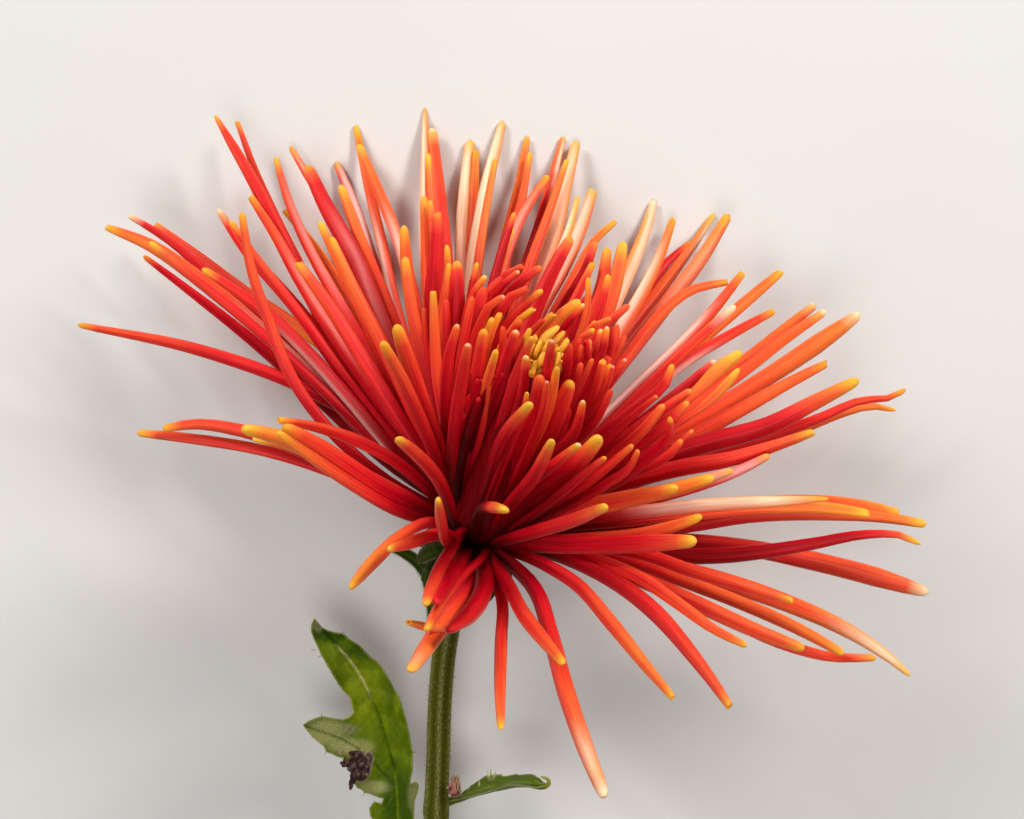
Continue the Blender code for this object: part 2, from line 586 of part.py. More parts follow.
def add_blade(points, widths, thickness, face, name, collection):
    """Add a flat closed blade along a line, facing a direction."""
    line = smooth_line(points, [k / (len(widths) - 1) for k in range(len(widths))])
    bm = bmesh.new()
    rings = []
    for i, centre in enumerate(line):
        direction = line_direction(line, i)
        across = direction.cross(face).normalized()
        over = across.cross(direction).normalized() * (thickness * 0.5)
        side = across * (widths[i] * 0.5)
        corners = (side - over, side + over, over - side, -side - over)
        rings.append([bm.verts.new((centre + corner) * MM) for corner in corners])
    bridge_rings(bm, rings)
    bm.faces.new(rings[0][::-1])
    bm.faces.new(rings[-1])
    return finish_mesh(bm, name, collection)


def make_stem():
    """Build the ribbed stem."""
    points = [row_point(*row) for row in STEM_PATH]
    head_end = HEAD_ROOT + HEAD_AXIS * (CUP_PROFILE[0][1] - STEM_START_GAP)
    points = [head_end] + points
    line = smooth_line(points, [k / STEM_STEPS for k in range(STEM_STEPS + 1)])
    bm = bmesh.new()
    rings = []
    for i, centre in enumerate(line):
        direction = -HEAD_AXIS if i == 0 else line_direction(line, i)
        across = Vector((1.0, 0.0, 0.0))
        across = (across - direction * across.dot(direction)).normalized()
        over = direction.cross(across).normalized()
        ring = []
        for k in range(STEM_SIDES):
            angle = math.tau * k / STEM_SIDES
            radius = STEM_RADIUS + STEM_RIB_DEPTH * math.cos(STEM_RIBS * angle)
            offset = across * (math.cos(angle) * radius) + over * (math.sin(angle) * radius)
            ring.append(bm.verts.new((centre + offset) * MM))
        rings.append(ring)
    bridge_rings(bm, rings)
    bm.faces.new(rings[0][::-1])
    bm.faces.new(rings[-1])
    return finish_mesh(bm, "stem", bpy.context.scene.collection)


def vein_distance(point, vein):
    """Return the distance in pixels from a point to the middle vein."""
    best = 1e9
    for start, end in zip(vein, vein[1:]):
        run = np.subtract(end, start)
        part = float(np.clip(np.dot(np.subtract(point, start), run) / np.dot(run, run), 0.0, 1.0))
        best = min(best, float(np.linalg.norm(np.subtract(point, start) - run * part)))
    return best


def left_leaf_height(px, py):
    """Return the height of the left leaf's blade, folded up from its middle vein."""
    towards_tip = (882 - py) / 264.0
    lifted = LEAF_LEFT_HEIGHT + LEAF_LEFT_RISE * towards_tip
    return lifted + LEAF_LEFT_FOLD * vein_distance((px, py), LEAF_LEFT_VEIN) / PX_PER_MM


def make_leaf_left():
    """Build the lobed left leaf from its outline."""
    bm = bmesh.new()
    lower = []
    upper = []
    for px, py in LEAF_LEFT_OUTLINE:
        height = left_leaf_height(px, py)
        lower.append(bm.verts.new(row_point(px, py, height) * MM))
        upper.append(bm.verts.new(row_point(px, py, height + LEAF_THICKNESS) * MM))
    count = len(lower)
    corners = [Vector((px, py, 0.0)) for px, py in LEAF_LEFT_OUTLINE]
    for a, b, c in tessellate_polygon([corners]):
        bm.faces.new((upper[a], upper[b], upper[c]))
        bm.faces.new((lower[c], lower[b], lower[a]))
    for k in range(count):
        bm.faces.new((lower[k], lower[(k + 1) % count], upper[(k + 1) % count], upper[k]))
    return finish_mesh(bm, "leaf_left", bpy.context.scene.collection)


def make_line_leaf(line, widths, face, name):
    """Build a narrow leaf along a line of pixels and heights."""
    points = [row_point(*row) for row in line]
    return add_blade(points, widths, LEAF_THICKNESS, face, name, bpy.context.scene.collection)


def make_axil_bud():
    """Build the small bud beside the stem."""
    base = row_point(*BUD_BASE)
    top = row_point(*BUD_TOP)
    direction = (top - base).normalized()
    across = direction.cross(Vector((0.0, 0.0, 1.0))).normalized()
    bm = bmesh.new()
    rings = []
    for place, radius in BUD_PROFILE:
        rings.append(add_ring(bm, base.lerp(top, place), direction, across, radius, radius, BUD_SIDES))
    bridge_rings(bm, rings)
    bm.faces.new(rings[0][::-1])
    bm.faces.new(rings[-1])
    return finish_mesh(bm, "axil_bud", bpy.context.scene.collection)


def main():
    """Clear the scene and build every node."""
    for thing in list(bpy.data.objects):
        bpy.data.objects.remove(thing, do_unlink=True)
    make_ray_florets()
    make_disc_florets()
    make_involucre()
    make_stem()
    make_leaf_left()
    make_line_leaf(LEAF_RIGHT_LINE, LEAF_RIGHT_WIDTHS, Vector((0.0, 1.0, 0.25)), "leaf_right")
    make_line_leaf(BRACT_LEAF_LINE, BRACT_LEAF_WIDTHS, Vector((0.5, 0.5, 1.0)), "bract_leaf")
    make_axil_bud()


main()
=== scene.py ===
import math
import random
from collections import namedtuple

import bpy
import numpy as np
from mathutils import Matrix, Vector
from mathutils.geometry import delaunay_2d_cdt


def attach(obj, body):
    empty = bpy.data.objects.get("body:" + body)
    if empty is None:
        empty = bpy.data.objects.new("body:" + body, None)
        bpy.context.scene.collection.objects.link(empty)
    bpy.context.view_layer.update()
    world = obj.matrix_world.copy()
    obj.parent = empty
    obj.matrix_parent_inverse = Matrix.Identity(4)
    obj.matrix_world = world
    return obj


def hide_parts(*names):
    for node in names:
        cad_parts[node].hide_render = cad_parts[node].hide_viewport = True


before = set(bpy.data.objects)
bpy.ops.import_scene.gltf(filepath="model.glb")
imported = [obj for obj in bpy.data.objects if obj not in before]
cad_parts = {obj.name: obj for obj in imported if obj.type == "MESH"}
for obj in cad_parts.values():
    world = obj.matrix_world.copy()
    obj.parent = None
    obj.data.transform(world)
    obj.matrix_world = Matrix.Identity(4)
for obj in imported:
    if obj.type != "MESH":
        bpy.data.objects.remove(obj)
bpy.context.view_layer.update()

# Lengths in mm, in the row frame: X to the right, Y up in the photograph, Z up from the surface.
MM = 0.001
HEAD_ROOT = Vector((-3.9, 28.0, 30.0))
HEAD_AXIS = Vector((0.270, 0.716, 0.643)).normalized()
UP = Vector((0.0, 0.0, 1.0))
RIGHTWARD = Vector((1.0, 0.0, 0.0))
LOWEST_POINT = 0.02

# The photograph: scale at the height of the head root, and the camera's distance above it.
ROOT_PX = (474.0, 538.0)
CENTRE_PX = (512.0, 409.5)
PX_PER_MM = 6.0
VIEW_DISTANCE = 500.0
SENSOR_WIDTH = 36.0
PICTURE_WIDTH = 1024.0
CLIP_START = 0.01
HEIGHT_GUESS = 20.0
HEIGHT_TRIES = 12

# Florets: where they start in the core, and how they keep clear of the centre and the surface.
ROOT_RADIUS = 4.2
ROOT_RISE = 0.12
ROOT_HEIGHT_LOW = 2.6
ROOT_HEIGHT_HIGH = 5.5
FLORET_THICKNESS = 0.72
EYE_RADIUS = 3.4
EYE_FLOOR = 39.35
EYE_CLEARANCE = 0.5
EYE_WIDTH_SHARE = 0.62
EYE_GUARD_START = 28.0
EYE_GUARD_RISE = 11.0
FLOOR_GAP = 0.05

# Form of a floret along its length, as parts of its width, and its rings
WIDTH_ALONG = ((0.0, 0.6), (0.1, 0.8), (0.3, 0.98), (0.6, 1.06), (0.8, 0.97), (0.93, 0.78), (1.0, 0.58))
POINTED_ALONG = ((0.0, 0.6), (0.1, 0.85), (0.3, 1.0), (0.55, 0.98), (0.72, 0.76), (0.88, 0.5), (1.0, 0.28))
TAPERED_ALONG = ((0.0, 0.6), (0.1, 0.85), (0.3, 1.0), (0.6, 1.05), (0.8, 0.95), (0.92, 0.7), (1.0, 0.3))
BROAD_ALONG = ((0.0, 0.5), (0.2, 0.66), (0.45, 0.85), (0.7, 1.05), (0.87, 1.05), (0.95, 0.8), (1.0, 0.5))
SPOON_ALONG = ((0.0, 0.6), (0.5, 0.75), (0.8, 0.85), (0.92, 1.15), (1.0, 0.6))
SEGMENT = 2.6
SIDES = 14
TIP_RINGS = 5
FEWEST_RINGS = 6
TIP_OF_WIDTH = 0.5
TIP_OF_LENGTH = 0.2
TIP_OVERHANG = 0.18
STEEP_LIMIT = 0.15
RIBS = 3.0
RIB_HEIGHT = 0.045
RIB_FADE = 2.0
GROOVE_DEPTH = 0.17
GROOVE_WIDTH = 0.42
FLORET_SEED = 7

# How florets differ: greatest turns of groove and twist, and how much the last part narrows
GROOVE_TURN = 0.7
MOST_TWIST = 0.9
NARROWING = (0.78, 1.12)
NARROWING_FROM = 0.6
GREATEST_SEED = 100.0

# Long ray florets, read on the photograph: height of the tip over the head root in mm,
# greatest width in mm, then pixels from the tip inward. Height -30 lies on the surface.
UPPER_LEFT = (
    (-8, 2.1, 80, 325, 200, 350, 300, 386, 390, 440),
    (-10, 2.6, 106, 227, 150, 245, 200, 280, 250, 320, 300, 365, 380, 450),
    (-16, 2.0, 130, 216, 170, 241, 215, 280, 262, 320, 310, 370, 390, 450),
    (-22, 2.1, 155, 224, 200, 257, 240, 288, 290, 322, 335, 357, 365, 400, 400, 460),
    (-4, 1.8, 151, 243, 190, 275, 240, 315, 300, 368, 390, 455),
    (-14, 1.9, 145, 257, 190, 291, 240, 330, 300, 382, 390, 465),
    (-3, 2.2, 204, 270, 230, 287, 265, 312, 300, 345, 350, 400, 400, 460),
    (-18, 2.3, 216, 117, 258, 190, 290, 255, 330, 335, 390, 440),
    (-24, 1.7, 237, 121, 255, 170, 275, 215, 300, 265, 345, 345, 400, 440),
    (-22, 2.0, 276, 159, 290, 205, 310, 250, 335, 295, 365, 345, 410, 440),
    (-27, 2.0, 291, 148, 310, 180, 340, 225, 370, 285, 400, 350, 430, 440),
    (-18, 3.2, 308, 168, 325, 205, 350, 250, 375, 310, 400, 370, 430, 445),
    (-12, 2.4, 250, 196, 275, 235, 300, 280, 335, 335, 375, 395, 415, 460),
    (-14, 2.4, 219, 211, 245, 250, 285, 295, 330, 350, 390, 430),
    (-8, 1.8, 231, 222, 250, 250, 300, 315, 350, 385),
    (8, 1.9, 242, 214, 250, 265, 270, 325, 290, 375, 325, 425, 380, 475),
    (-25, 1.6, 284, 210, 310, 240, 350, 300, 410, 420),
    (-8, 1.9, 320, 223, 340, 265, 365, 320, 410, 420),
    (0, 2.2, 332, 239, 355, 290, 385, 350, 425, 440),
    (2, 2.4, 298, 263, 325, 300, 360, 355, 400, 420),
    (-30, 2.3, 337, 164, 352, 200, 372, 260, 392, 315, 425, 410),
    (-20, 2.3, 341, 187, 358, 235, 385, 300, 420, 400),
    (-30, 1.9, 356, 127, 368, 185, 382, 245, 395, 305, 430, 410),
    (-26, 2.1, 359, 146, 380, 195, 400, 245, 412, 290, 440, 400),
    (2, 2.5, 404, 228, 408, 275, 418, 330, 435, 400, 452, 460),
    (10, 2.2, 405, 258, 410, 300, 420, 350, 438, 410),
    (30, 2.2, 383, 343, 402, 380, 420, 420, 440, 470),
    (24, 2.7, 397, 327, 408, 360, 420, 395, 440, 450),
    (38, 2.2, 398, 439, 415, 453, 435, 475),
)
TOP = (
    (-30, 2.6, 425, 110, 426, 170, 426, 230, 430, 290, 448, 400),
    (-28, 2.4, 432, 130, 438, 185, 444, 240, 450, 300, 460, 400),
    (-18, 1.9, 428, 155, 430, 200, 434, 260, 445, 350),
    (-8, 2.3, 424, 198, 426, 240, 428, 290, 440, 380),
    (-6, 1.7, 430, 202, 434, 250, 442, 340),
    (0, 3.3, 437, 213, 437, 250, 434, 290, 440, 360, 452, 440),
    (4, 1.9, 447, 247, 449, 290, 452, 350, 460, 430),
    (12, 1.7, 449, 264, 444, 295, 440, 330, 446, 400),
    (20, 1.9, 433, 291, 434, 325, 436, 365, 446, 430),
    (10, 3.2, 457, 264, 457, 300, 456, 340, 462, 420),
    (-30, 2.8, 470, 143, 466, 190, 463, 240, 464, 300, 468, 400),
    (-28, 1.7, 476, 150, 474, 200, 471, 260, 470, 340),
    (-30, 2.8, 502, 124, 489, 175, 479, 225, 472, 280, 470, 380),
    (-22, 1.6, 495, 160, 486, 210, 478, 265, 474, 340),
    (-30, 2.1, 527, 138, 519, 185, 506, 240, 495, 285, 480, 400),
    (-26, 1.9, 530, 154, 522, 200, 508, 250, 490, 350),
    (-8, 1.9, 514, 214, 503, 250, 492, 290, 480, 400),
    (-12, 1.7, 513, 228, 502, 262, 488, 330),
    (-24, 2.2, 547, 177, 525, 210, 505, 255, 485, 340),
    (-30, 2.2, 563, 138, 552, 180, 540, 225, 522, 280, 490, 400),
    (-28, 2.6, 576, 143, 565, 190, 553, 240, 538, 280, 500, 390),
    (-24, 1.8, 567, 160, 550, 210, 530, 265, 495, 380),
    (-16, 1.6, 578, 197, 569, 230, 555, 265, 520, 350),
    (-24, 2.5, 593, 190, 580, 230, 562, 270, 540, 310, 505, 400),
    (-4, 2.6, 570, 239, 553, 270, 535, 310, 505, 400),
    (-8, 2.2, 595, 243, 583, 275, 562, 310, 520, 400),
    (-18, 1.6, 615, 222, 595, 240, 575, 275, 550, 320, 515, 400),
    (-2, 1.7, 593, 263, 580, 290, 560, 330, 520, 420),
    (-4, 2.4, 607, 250, 602, 285, 585, 330, 545, 400),
    (4, 1.7, 608, 276, 602, 305, 585, 345),
    (-10, 2.6, 623, 244, 615, 285, 598, 335, 550, 420),
    (8, 1.6, 588, 279, 587, 310, 575, 350),
)
UPPER_RIGHT = (
    (-30, 2.8, 654, 202, 642, 240, 625, 280, 600, 330, 540, 430),
    (-26, 2.4, 673, 219, 658, 260, 638, 300, 610, 345, 545, 440),
    (-28, 2.0, 690, 243, 668, 262, 640, 300, 600, 360),
    (-30, 2.4, 713, 216, 690, 250, 660, 290, 625, 335, 555, 430),
    (-22, 2.8, 728, 216, 702, 258, 670, 300, 635, 345, 560, 440),
    (-14, 1.8, 728, 282, 692, 290, 655, 320, 625, 360, 570, 430),
    (-10, 2.2, 743, 273, 712, 312, 675, 352, 640, 385, 600, 423),
    (-16, 2.2, 781, 272, 740, 307, 695, 345, 650, 385, 590, 440),
    (-2, 2.0, 734, 307, 705, 333, 665, 370, 600, 435),
    (-10, 1.9, 774, 311, 730, 335, 685, 362, 640, 400, 580, 455),
    (-12, 2.2, 815, 305, 780, 333, 740, 365, 690, 400, 600, 455),
    (-8, 2.6, 824, 312, 785, 338, 745, 368, 700, 400, 610, 460),
    (-6, 2.8, 858, 315, 815, 345, 770, 375, 720, 405, 620, 460),
    (0, 2.5, 827, 363, 790, 382, 745, 407, 700, 432, 620, 470),
    (8, 3.2, 856, 381, 815, 402, 770, 425, 700, 445, 620, 475),
    (0, 1.9, 904, 390, 895, 396, 860, 401, 820, 418, 760, 440, 660, 475),
    (-4, 2.0, 894, 410, 870, 406, 835, 415, 790, 433, 700, 460, 620, 480),
    (12, 2.7, 814, 432, 780, 444, 735, 458, 680, 468, 600, 490),
    (6, 1.8, 714, 362, 690, 383, 650, 415, 590, 460),
    (12, 2.0, 672, 366, 665, 385, 640, 405, 590, 445),
    (16, 1.6, 657, 396, 640, 410, 600, 445),
    (22, 2.0, 663, 406, 645, 428, 615, 455, 570, 490),
    (28, 2.4, 670, 419, 669, 437, 650, 455, 620, 478, 580, 495),
    (22, 1.8, 681, 441, 668, 456, 640, 470, 590, 492),
    (16, 1.6, 692, 431, 672, 450, 630, 472),
    (14, 1.8, 690, 391, 670, 405, 620, 440),
    (16, 2.0, 687, 403, 672, 420, 625, 455),
    (34, 1.5, 638, 451, 630, 467, 605, 485),
    (32, 1.6, 632, 446, 618, 458, 585, 485),
    (38, 1.7, 605, 458, 592, 468, 560, 495),
)
RIGHT = (
    (32, 2.4, 676, 488, 640, 495, 600, 503, 555, 515),
    (24, 2.4, 712, 478, 680, 488, 630, 500, 570, 515),
    (18, 2.3, 731, 471, 700, 481, 650, 495, 580, 512),
    (12, 1.9, 768, 456, 735, 472, 690, 488, 600, 510),
    (16, 2.2, 826, 499, 770, 502, 710, 505, 650, 511, 560, 522),
    (10, 2.3, 869, 514, 820, 508, 760, 508, 690, 514, 580, 525),
    (6, 2.4, 899, 513, 860, 505, 810, 502, 740, 506, 650, 518),
    (8, 2.2, 924, 524, 880, 517, 820, 514, 750, 516, 680, 527, 600, 530),
    (12, 2.7, 918, 543, 900, 535, 870, 534, 810, 544, 750, 553, 680, 556, 600, 548),
    (4, 3.0, 926, 592, 870, 575, 810, 560, 750, 548, 680, 540, 600, 538),
    (34, 2.1, 793, 601, 745, 587, 695, 572, 640, 553, 570, 545),
    (30, 2.1, 842, 653, 800, 630, 740, 603, 680, 580, 620, 558, 560, 548),
    (22, 2.9, 908, 674, 890, 658, 840, 626, 785, 602, 720, 580, 640, 560),
    (38, 2.6, 802, 648, 755, 630, 700, 605, 650, 583, 600, 563, 550, 548),
    (30, 2.0, 874, 658, 830, 657, 780, 643, 720, 615, 650, 585),
    (42, 2.1, 745, 645, 715, 630, 680, 605, 640, 578, 590, 558),
    (46, 2.8, 730, 707, 715, 685, 690, 652, 655, 612, 610, 578, 560, 555),
    (44, 2.2, 606, 507, 575, 520, 535, 532),
    (36, 2.4, 700, 517, 680, 524, 640, 535, 580, 540),
    (38, 2.8, 694, 541, 650, 543, 600, 545, 550, 545),
)
BOTTOM = (
    (50, 2.3, 673, 698, 645, 665, 610, 622, 575, 583, 540, 562),
    (57, 2.9, 604, 795, 585, 748, 565, 690, 550, 635, 535, 590),
    (50, 2.3, 563, 663, 545, 642, 522, 612, 508, 585),
    (54, 2.0, 501, 728, 500, 690, 501, 640, 502, 600),
    (46, 3.0, 411, 670, 428, 645, 452, 610, 472, 580),
    (50, 2.2, 427, 629, 440, 605, 462, 576, 484, 548),
    (49, 2.1, 426, 604, 434, 582, 447, 556, 464, 534),
    (46, 2.6, 436, 602, 449, 578, 462, 558, 472, 544),
    (41, 3.2, 450, 630, 470, 612, 483, 590, 483, 560),
    (42, 2.4, 408, 622, 440, 628, 470, 618, 486, 590, 484, 568),
    (40, 2.9, 351, 587, 375, 560, 400, 537, 430, 522),
    (46, 2.2, 389, 549, 410, 543, 435, 535),
    (46, 2.4, 438, 500, 441, 520, 447, 540),
    (44, 2.6, 505, 510, 495, 508, 486, 508),
)
LEFT = (
    (8, 1.8, 139, 433, 200, 440, 260, 450, 330, 472, 400, 505),
    (10, 2.2, 163, 429, 190, 424, 240, 430, 300, 450, 370, 485),
    (24, 2.8, 244, 429, 275, 436, 320, 455, 380, 485),
    (20, 2.0, 278, 420, 320, 428, 360, 442, 410, 472),
    (30, 2.0, 279, 433, 310, 456, 350, 483, 400, 512),
    (14, 1.6, 254, 439, 300, 450, 360, 480),
    (26, 3.2, 285, 428, 320, 448, 360, 475, 410, 505),
)
# Broad open florets, widest close to the tip
SPOONS = (
    (12, 2.0, 740, 353, 718, 370, 690, 398, 625, 440),
    (15, 1.8, 738, 370, 716, 396, 690, 415, 630, 450),
)
# Florets standing round the centre: height of the tip along the head axis, width, then pixels
STANDING = (
    (41, 3.0, 483, 290, 474, 330, 467, 390),
    (41, 2.0, 468, 345, 462, 380, 454, 440),
    (39, 1.8, 482, 341, 478, 385, 470, 450),
    (40, 1.8, 496, 351, 488, 380, 480, 430),
    (38, 2.0, 457, 326, 449, 355, 446, 410),
    (36, 1.5, 446, 301, 447, 340, 450, 400),
    (36, 1.4, 424, 309, 425, 340, 440, 420),
    (41, 1.8, 500, 314, 490, 335, 478, 385),
    (41, 1.7, 492, 319, 485, 340, 474, 390),
    (40, 1.8, 503, 328, 503, 355, 490, 420),
    (44, 2.3, 516, 332, 507, 362, 494, 420),
    (48.5, 1.9, 532, 338, 520, 365, 500, 430),
    (45, 1.9, 526, 357, 524, 385, 508, 440),
    (43, 2.6, 540, 377, 535, 410, 518, 460),
    (49.5, 1.8, 552, 341, 547, 370, 525, 430),
    (45, 2.0, 557, 368, 551, 400, 530, 450),
    (42, 3.0, 570, 383, 557, 415, 535, 460),
    (42, 2.3, 530, 404, 507, 433, 488, 485),
    (40, 2.3, 552, 441, 535, 475, 505, 512),
    (41, 3.0, 599, 438, 575, 465, 530, 500),
    (40, 1.8, 579, 445, 560, 460, 520, 495),
    (41, 2.2, 583, 402, 575, 430, 540, 465),
    (40, 2.0, 611, 391, 595, 420, 550, 460),
    (41, 2.2, 603, 361, 593, 400, 555, 445),
    (40, 2.1, 601, 331, 594, 370, 565, 420),
    (40, 1.9, 610, 366, 600, 395, 560, 440),
    (39, 1.9, 617, 326, 610, 360, 570, 420),
    (39, 1.8, 628, 306, 608, 323, 585, 350),
    (38, 1.6, 625, 337, 615, 360, 580, 410),
    (38, 1.6, 625, 360, 612, 380, 575, 430),
    (40, 1.7, 596, 322, 585, 335, 570, 360),
    (41, 1.8, 593, 330, 578, 342, 565, 365),
    (41, 2.0, 580, 340, 573, 360, 560, 390),
    (42, 1.8, 570, 345, 567, 370, 555, 400),
    (41, 1.9, 587, 340, 587, 370, 570, 400),
    (41, 1.7, 592, 360, 580, 385, 560, 420),
    (44, 2.4, 540, 268, 522, 280, 506, 300),
    (43, 1.9, 523, 266, 505, 275, 492, 295),
    (42, 1.8, 501, 279, 490, 290, 482, 305),
    (43, 1.9, 541, 291, 528, 302, 510, 320),
    (43, 1.9, 528, 289, 512, 296, 500, 312),
    (42, 2.0, 503, 297, 490, 305, 480, 325),
    (42, 1.9, 534, 309, 522, 318, 510, 335),
    (42, 2.6, 578, 302, 562, 315, 548, 335),
    (42, 2.2, 554, 314, 543, 325, 530, 345),
    (38, 1.5, 477, 264, 472, 285, 468, 330),
    (39, 1.6, 485, 277, 473, 295, 465, 330),
    (41, 2.6, 520, 322, 512, 335, 505, 360),
    (43, 1.6, 518, 272, 505, 282, 494, 298),
    (43, 1.5, 529, 330, 524, 337, 518, 350),
    (43, 1.6, 557, 329, 548, 338, 540, 350),
    (43, 1.5, 563, 334, 558, 345, 552, 358),
    (42.5, 1.4, 567, 341, 563, 350, 556, 362),
    (43, 1.8, 547, 382, 544, 405, 530, 445),
    (43, 1.4, 527, 393, 524, 410, 512, 440),
    (42, 1.5, 610, 319, 600, 322, 585, 335),
    (41, 1.6, 607, 328, 604, 345, 590, 375),
    (41, 1.5, 609, 357, 606, 372, 590, 405),
    (41, 1.5, 613, 367, 607, 385, 585, 420),
    (42, 1.4, 581, 346, 578, 360, 565, 385),
    (41, 2.2, 484, 331, 478, 370, 468, 420),
    (40, 1.6, 472, 298, 466, 330, 458, 380),
    (42, 1.6, 583, 305, 570, 320, 555, 338),
    (43, 1.7, 544, 320, 535, 328, 524, 345),
    (41, 1.4, 590, 341, 588, 355, 575, 385),
    (42, 1.4, 581, 364, 577, 380, 565, 400),
    (35, 2.4, 586, 298, 579, 320, 566, 352),
    (34, 2.2, 600, 312, 590, 336, 574, 364),
    (36, 2.2, 573, 302, 568, 322, 558, 346),
    (33, 2.4, 612, 330, 600, 352, 580, 380),
    (34, 2.6, 504, 372, 496, 400, 484, 450),
    (33, 2.4, 492, 380, 484, 410, 476, 460),
    (33, 2.6, 514, 392, 504, 420, 490, 465),
    (33, 2.2, 478, 380, 472, 410, 466, 460),
    (34, 2.4, 530, 415, 518, 440, 502, 480),
    (34, 2.6, 548, 412, 536, 440, 516, 480),
    (34, 2.4, 568, 410, 555, 440, 530, 475),
    (33, 2.2, 464, 370, 458, 400, 454, 450),
)
# Pieces of long florets: name, rows, and how much warmer their colour is than the usual
LONG_REGIONS = (
    ("florets_upper_left", UPPER_LEFT, 0.01), ("florets_top", TOP, 0.02),
    ("florets_upper_right", UPPER_RIGHT, 0.01), ("florets_right", RIGHT, 0.01),
    ("florets_bottom", BOTTOM, 0.065), ("florets_left", LEFT, 0.04),
)
WARMTH_SPREAD = 0.045
WARMTH_RISE = 2.5

# Styles of florets: blush along the floret from its root, then the blush of its tip and the mm it reaches.
# Blush 0 is dark maroon, 0.5 red, 0.75 orange and 1 yellow. The low blush near the root is partly the
# florets' own deep crimson and partly painted shade.
STYLES = {
    "coral": (((0.0, 0.02), (0.1, 0.1), (0.25, 0.26), (0.5, 0.41), (0.75, 0.51), (1.0, 0.6)), 0.93, 3.6),
    "crimson": (((0.0, 0.0), (0.1, 0.08), (0.25, 0.2), (0.5, 0.31), (0.75, 0.38), (1.0, 0.44)), 0.86, 2.4),
    "orange": (((0.0, 0.02), (0.12, 0.12), (0.3, 0.34), (0.5, 0.5), (0.75, 0.6), (1.0, 0.68)), 0.92, 2.6),
    "amber": (((0.0, 0.02), (0.12, 0.12), (0.3, 0.32), (0.5, 0.47), (0.75, 0.6), (1.0, 0.74)), 0.95, 3.4),
    "cream": (((0.0, 0.02), (0.12, 0.12), (0.3, 0.34), (0.5, 0.56), (0.75, 0.7), (1.0, 0.78)), 0.97, 2.0),
    "fading": (((0.0, 0.02), (0.1, 0.2), (0.25, 0.55), (0.4, 0.74), (0.52, 0.68), (0.75, 0.46), (1.0, 0.5)),
               0.9, 2.5),
    "ember": (((0.0, 0.0), (0.2, 0.18), (0.5, 0.3), (0.75, 0.34), (0.88, 0.6), (1.0, 0.8)), 0.98, 6.0),
    # A floret whose dark middle is painted shade
    "shadowed": (((0.0, 0.0), (0.2, 0.18), (0.5, 0.27), (0.74, 0.32), (0.84, 0.6), (1.0, 0.76)), 0.93, 2.0),
    "standing": (((0.0, 0.04), (0.3, 0.2), (0.6, 0.33), (0.8, 0.41), (0.92, 0.48), (1.0, 0.56)), 0.74, 1.8),
    "stub": (((0.0, 0.02), (0.3, 0.16), (0.6, 0.3), (0.85, 0.42), (1.0, 0.56)), 0.84, 1.4),
    "spoon": (((0.0, 0.02), (0.3, 0.3), (0.55, 0.45), (0.75, 0.58), (0.9, 0.74), (1.0, 0.94)), 1.0, 4.2),
    # Florets deep among the others, dark as painted shade
    "shade_filler": (((0.0, 0.04), (0.3, 0.2), (0.6, 0.31), (1.0, 0.38)), 0.42, 1.2),
    # Short inner florets, dark as painted shade
    "inner": (((0.0, 0.0), (0.4, 0.12), (0.8, 0.26), (1.0, 0.36)), 0.5, 1.5),
}
STYLE_OF = {
    "crimson": (
        (437, 213), (457, 264), (595, 243), (690, 243), (714, 362), (672, 366), (918, 543), (145, 257),
        (308, 168), (337, 164), (570, 239), (514, 214), (694, 541), (768, 456),
    ),
    "amber": (
        (341, 187), (320, 223), (332, 239), (284, 210), (404, 228), (405, 258), (356, 127), (359, 146),
        (428, 155), (476, 150), (495, 160), (527, 138), (530, 154), (513, 228), (567, 160), (615, 222),
        (623, 244), (588, 279), (713, 216), (728, 216), (894, 410), (279, 433), (557, 368), (496, 351),
        (500, 314), (492, 319), (534, 309), (554, 314), (578, 302), (563, 334), (383, 343), (899, 513),
        (433, 291), (924, 524), (869, 514), (908, 674),
    ),
    "orange": (
        (106, 227), (547, 177), (728, 282), (815, 305), (824, 312), (858, 315), (827, 363), (673, 698),
        (745, 645), (802, 648), (842, 653), (700, 517), (676, 488), (712, 478), (254, 439), (244, 429),
        (411, 670), (351, 587), (781, 272), (743, 273), (604, 795),
    ),
    "cream": (
        (470, 143), (502, 124), (425, 110), (576, 143), (593, 190), (578, 197), (654, 202), (673, 219),
        (826, 499),
    ),
    "stub": (
        (657, 396), (663, 406), (681, 441), (692, 431), (638, 451), (632, 446), (605, 458), (687, 403),
        (690, 391), (670, 419),
    ),
    # Florets deep among the others, dark as painted shade
    "shade_filler": (
        (504, 372), (492, 380), (514, 392), (478, 380), (530, 415), (548, 412), (568, 410), (464, 370),
        (586, 298), (600, 312), (573, 302), (612, 330), (436, 602), (450, 630),
    ),
    "fading": ((155, 224),),
    "ember": ((856, 381),),
    "shadowed": ((563, 138),),
}
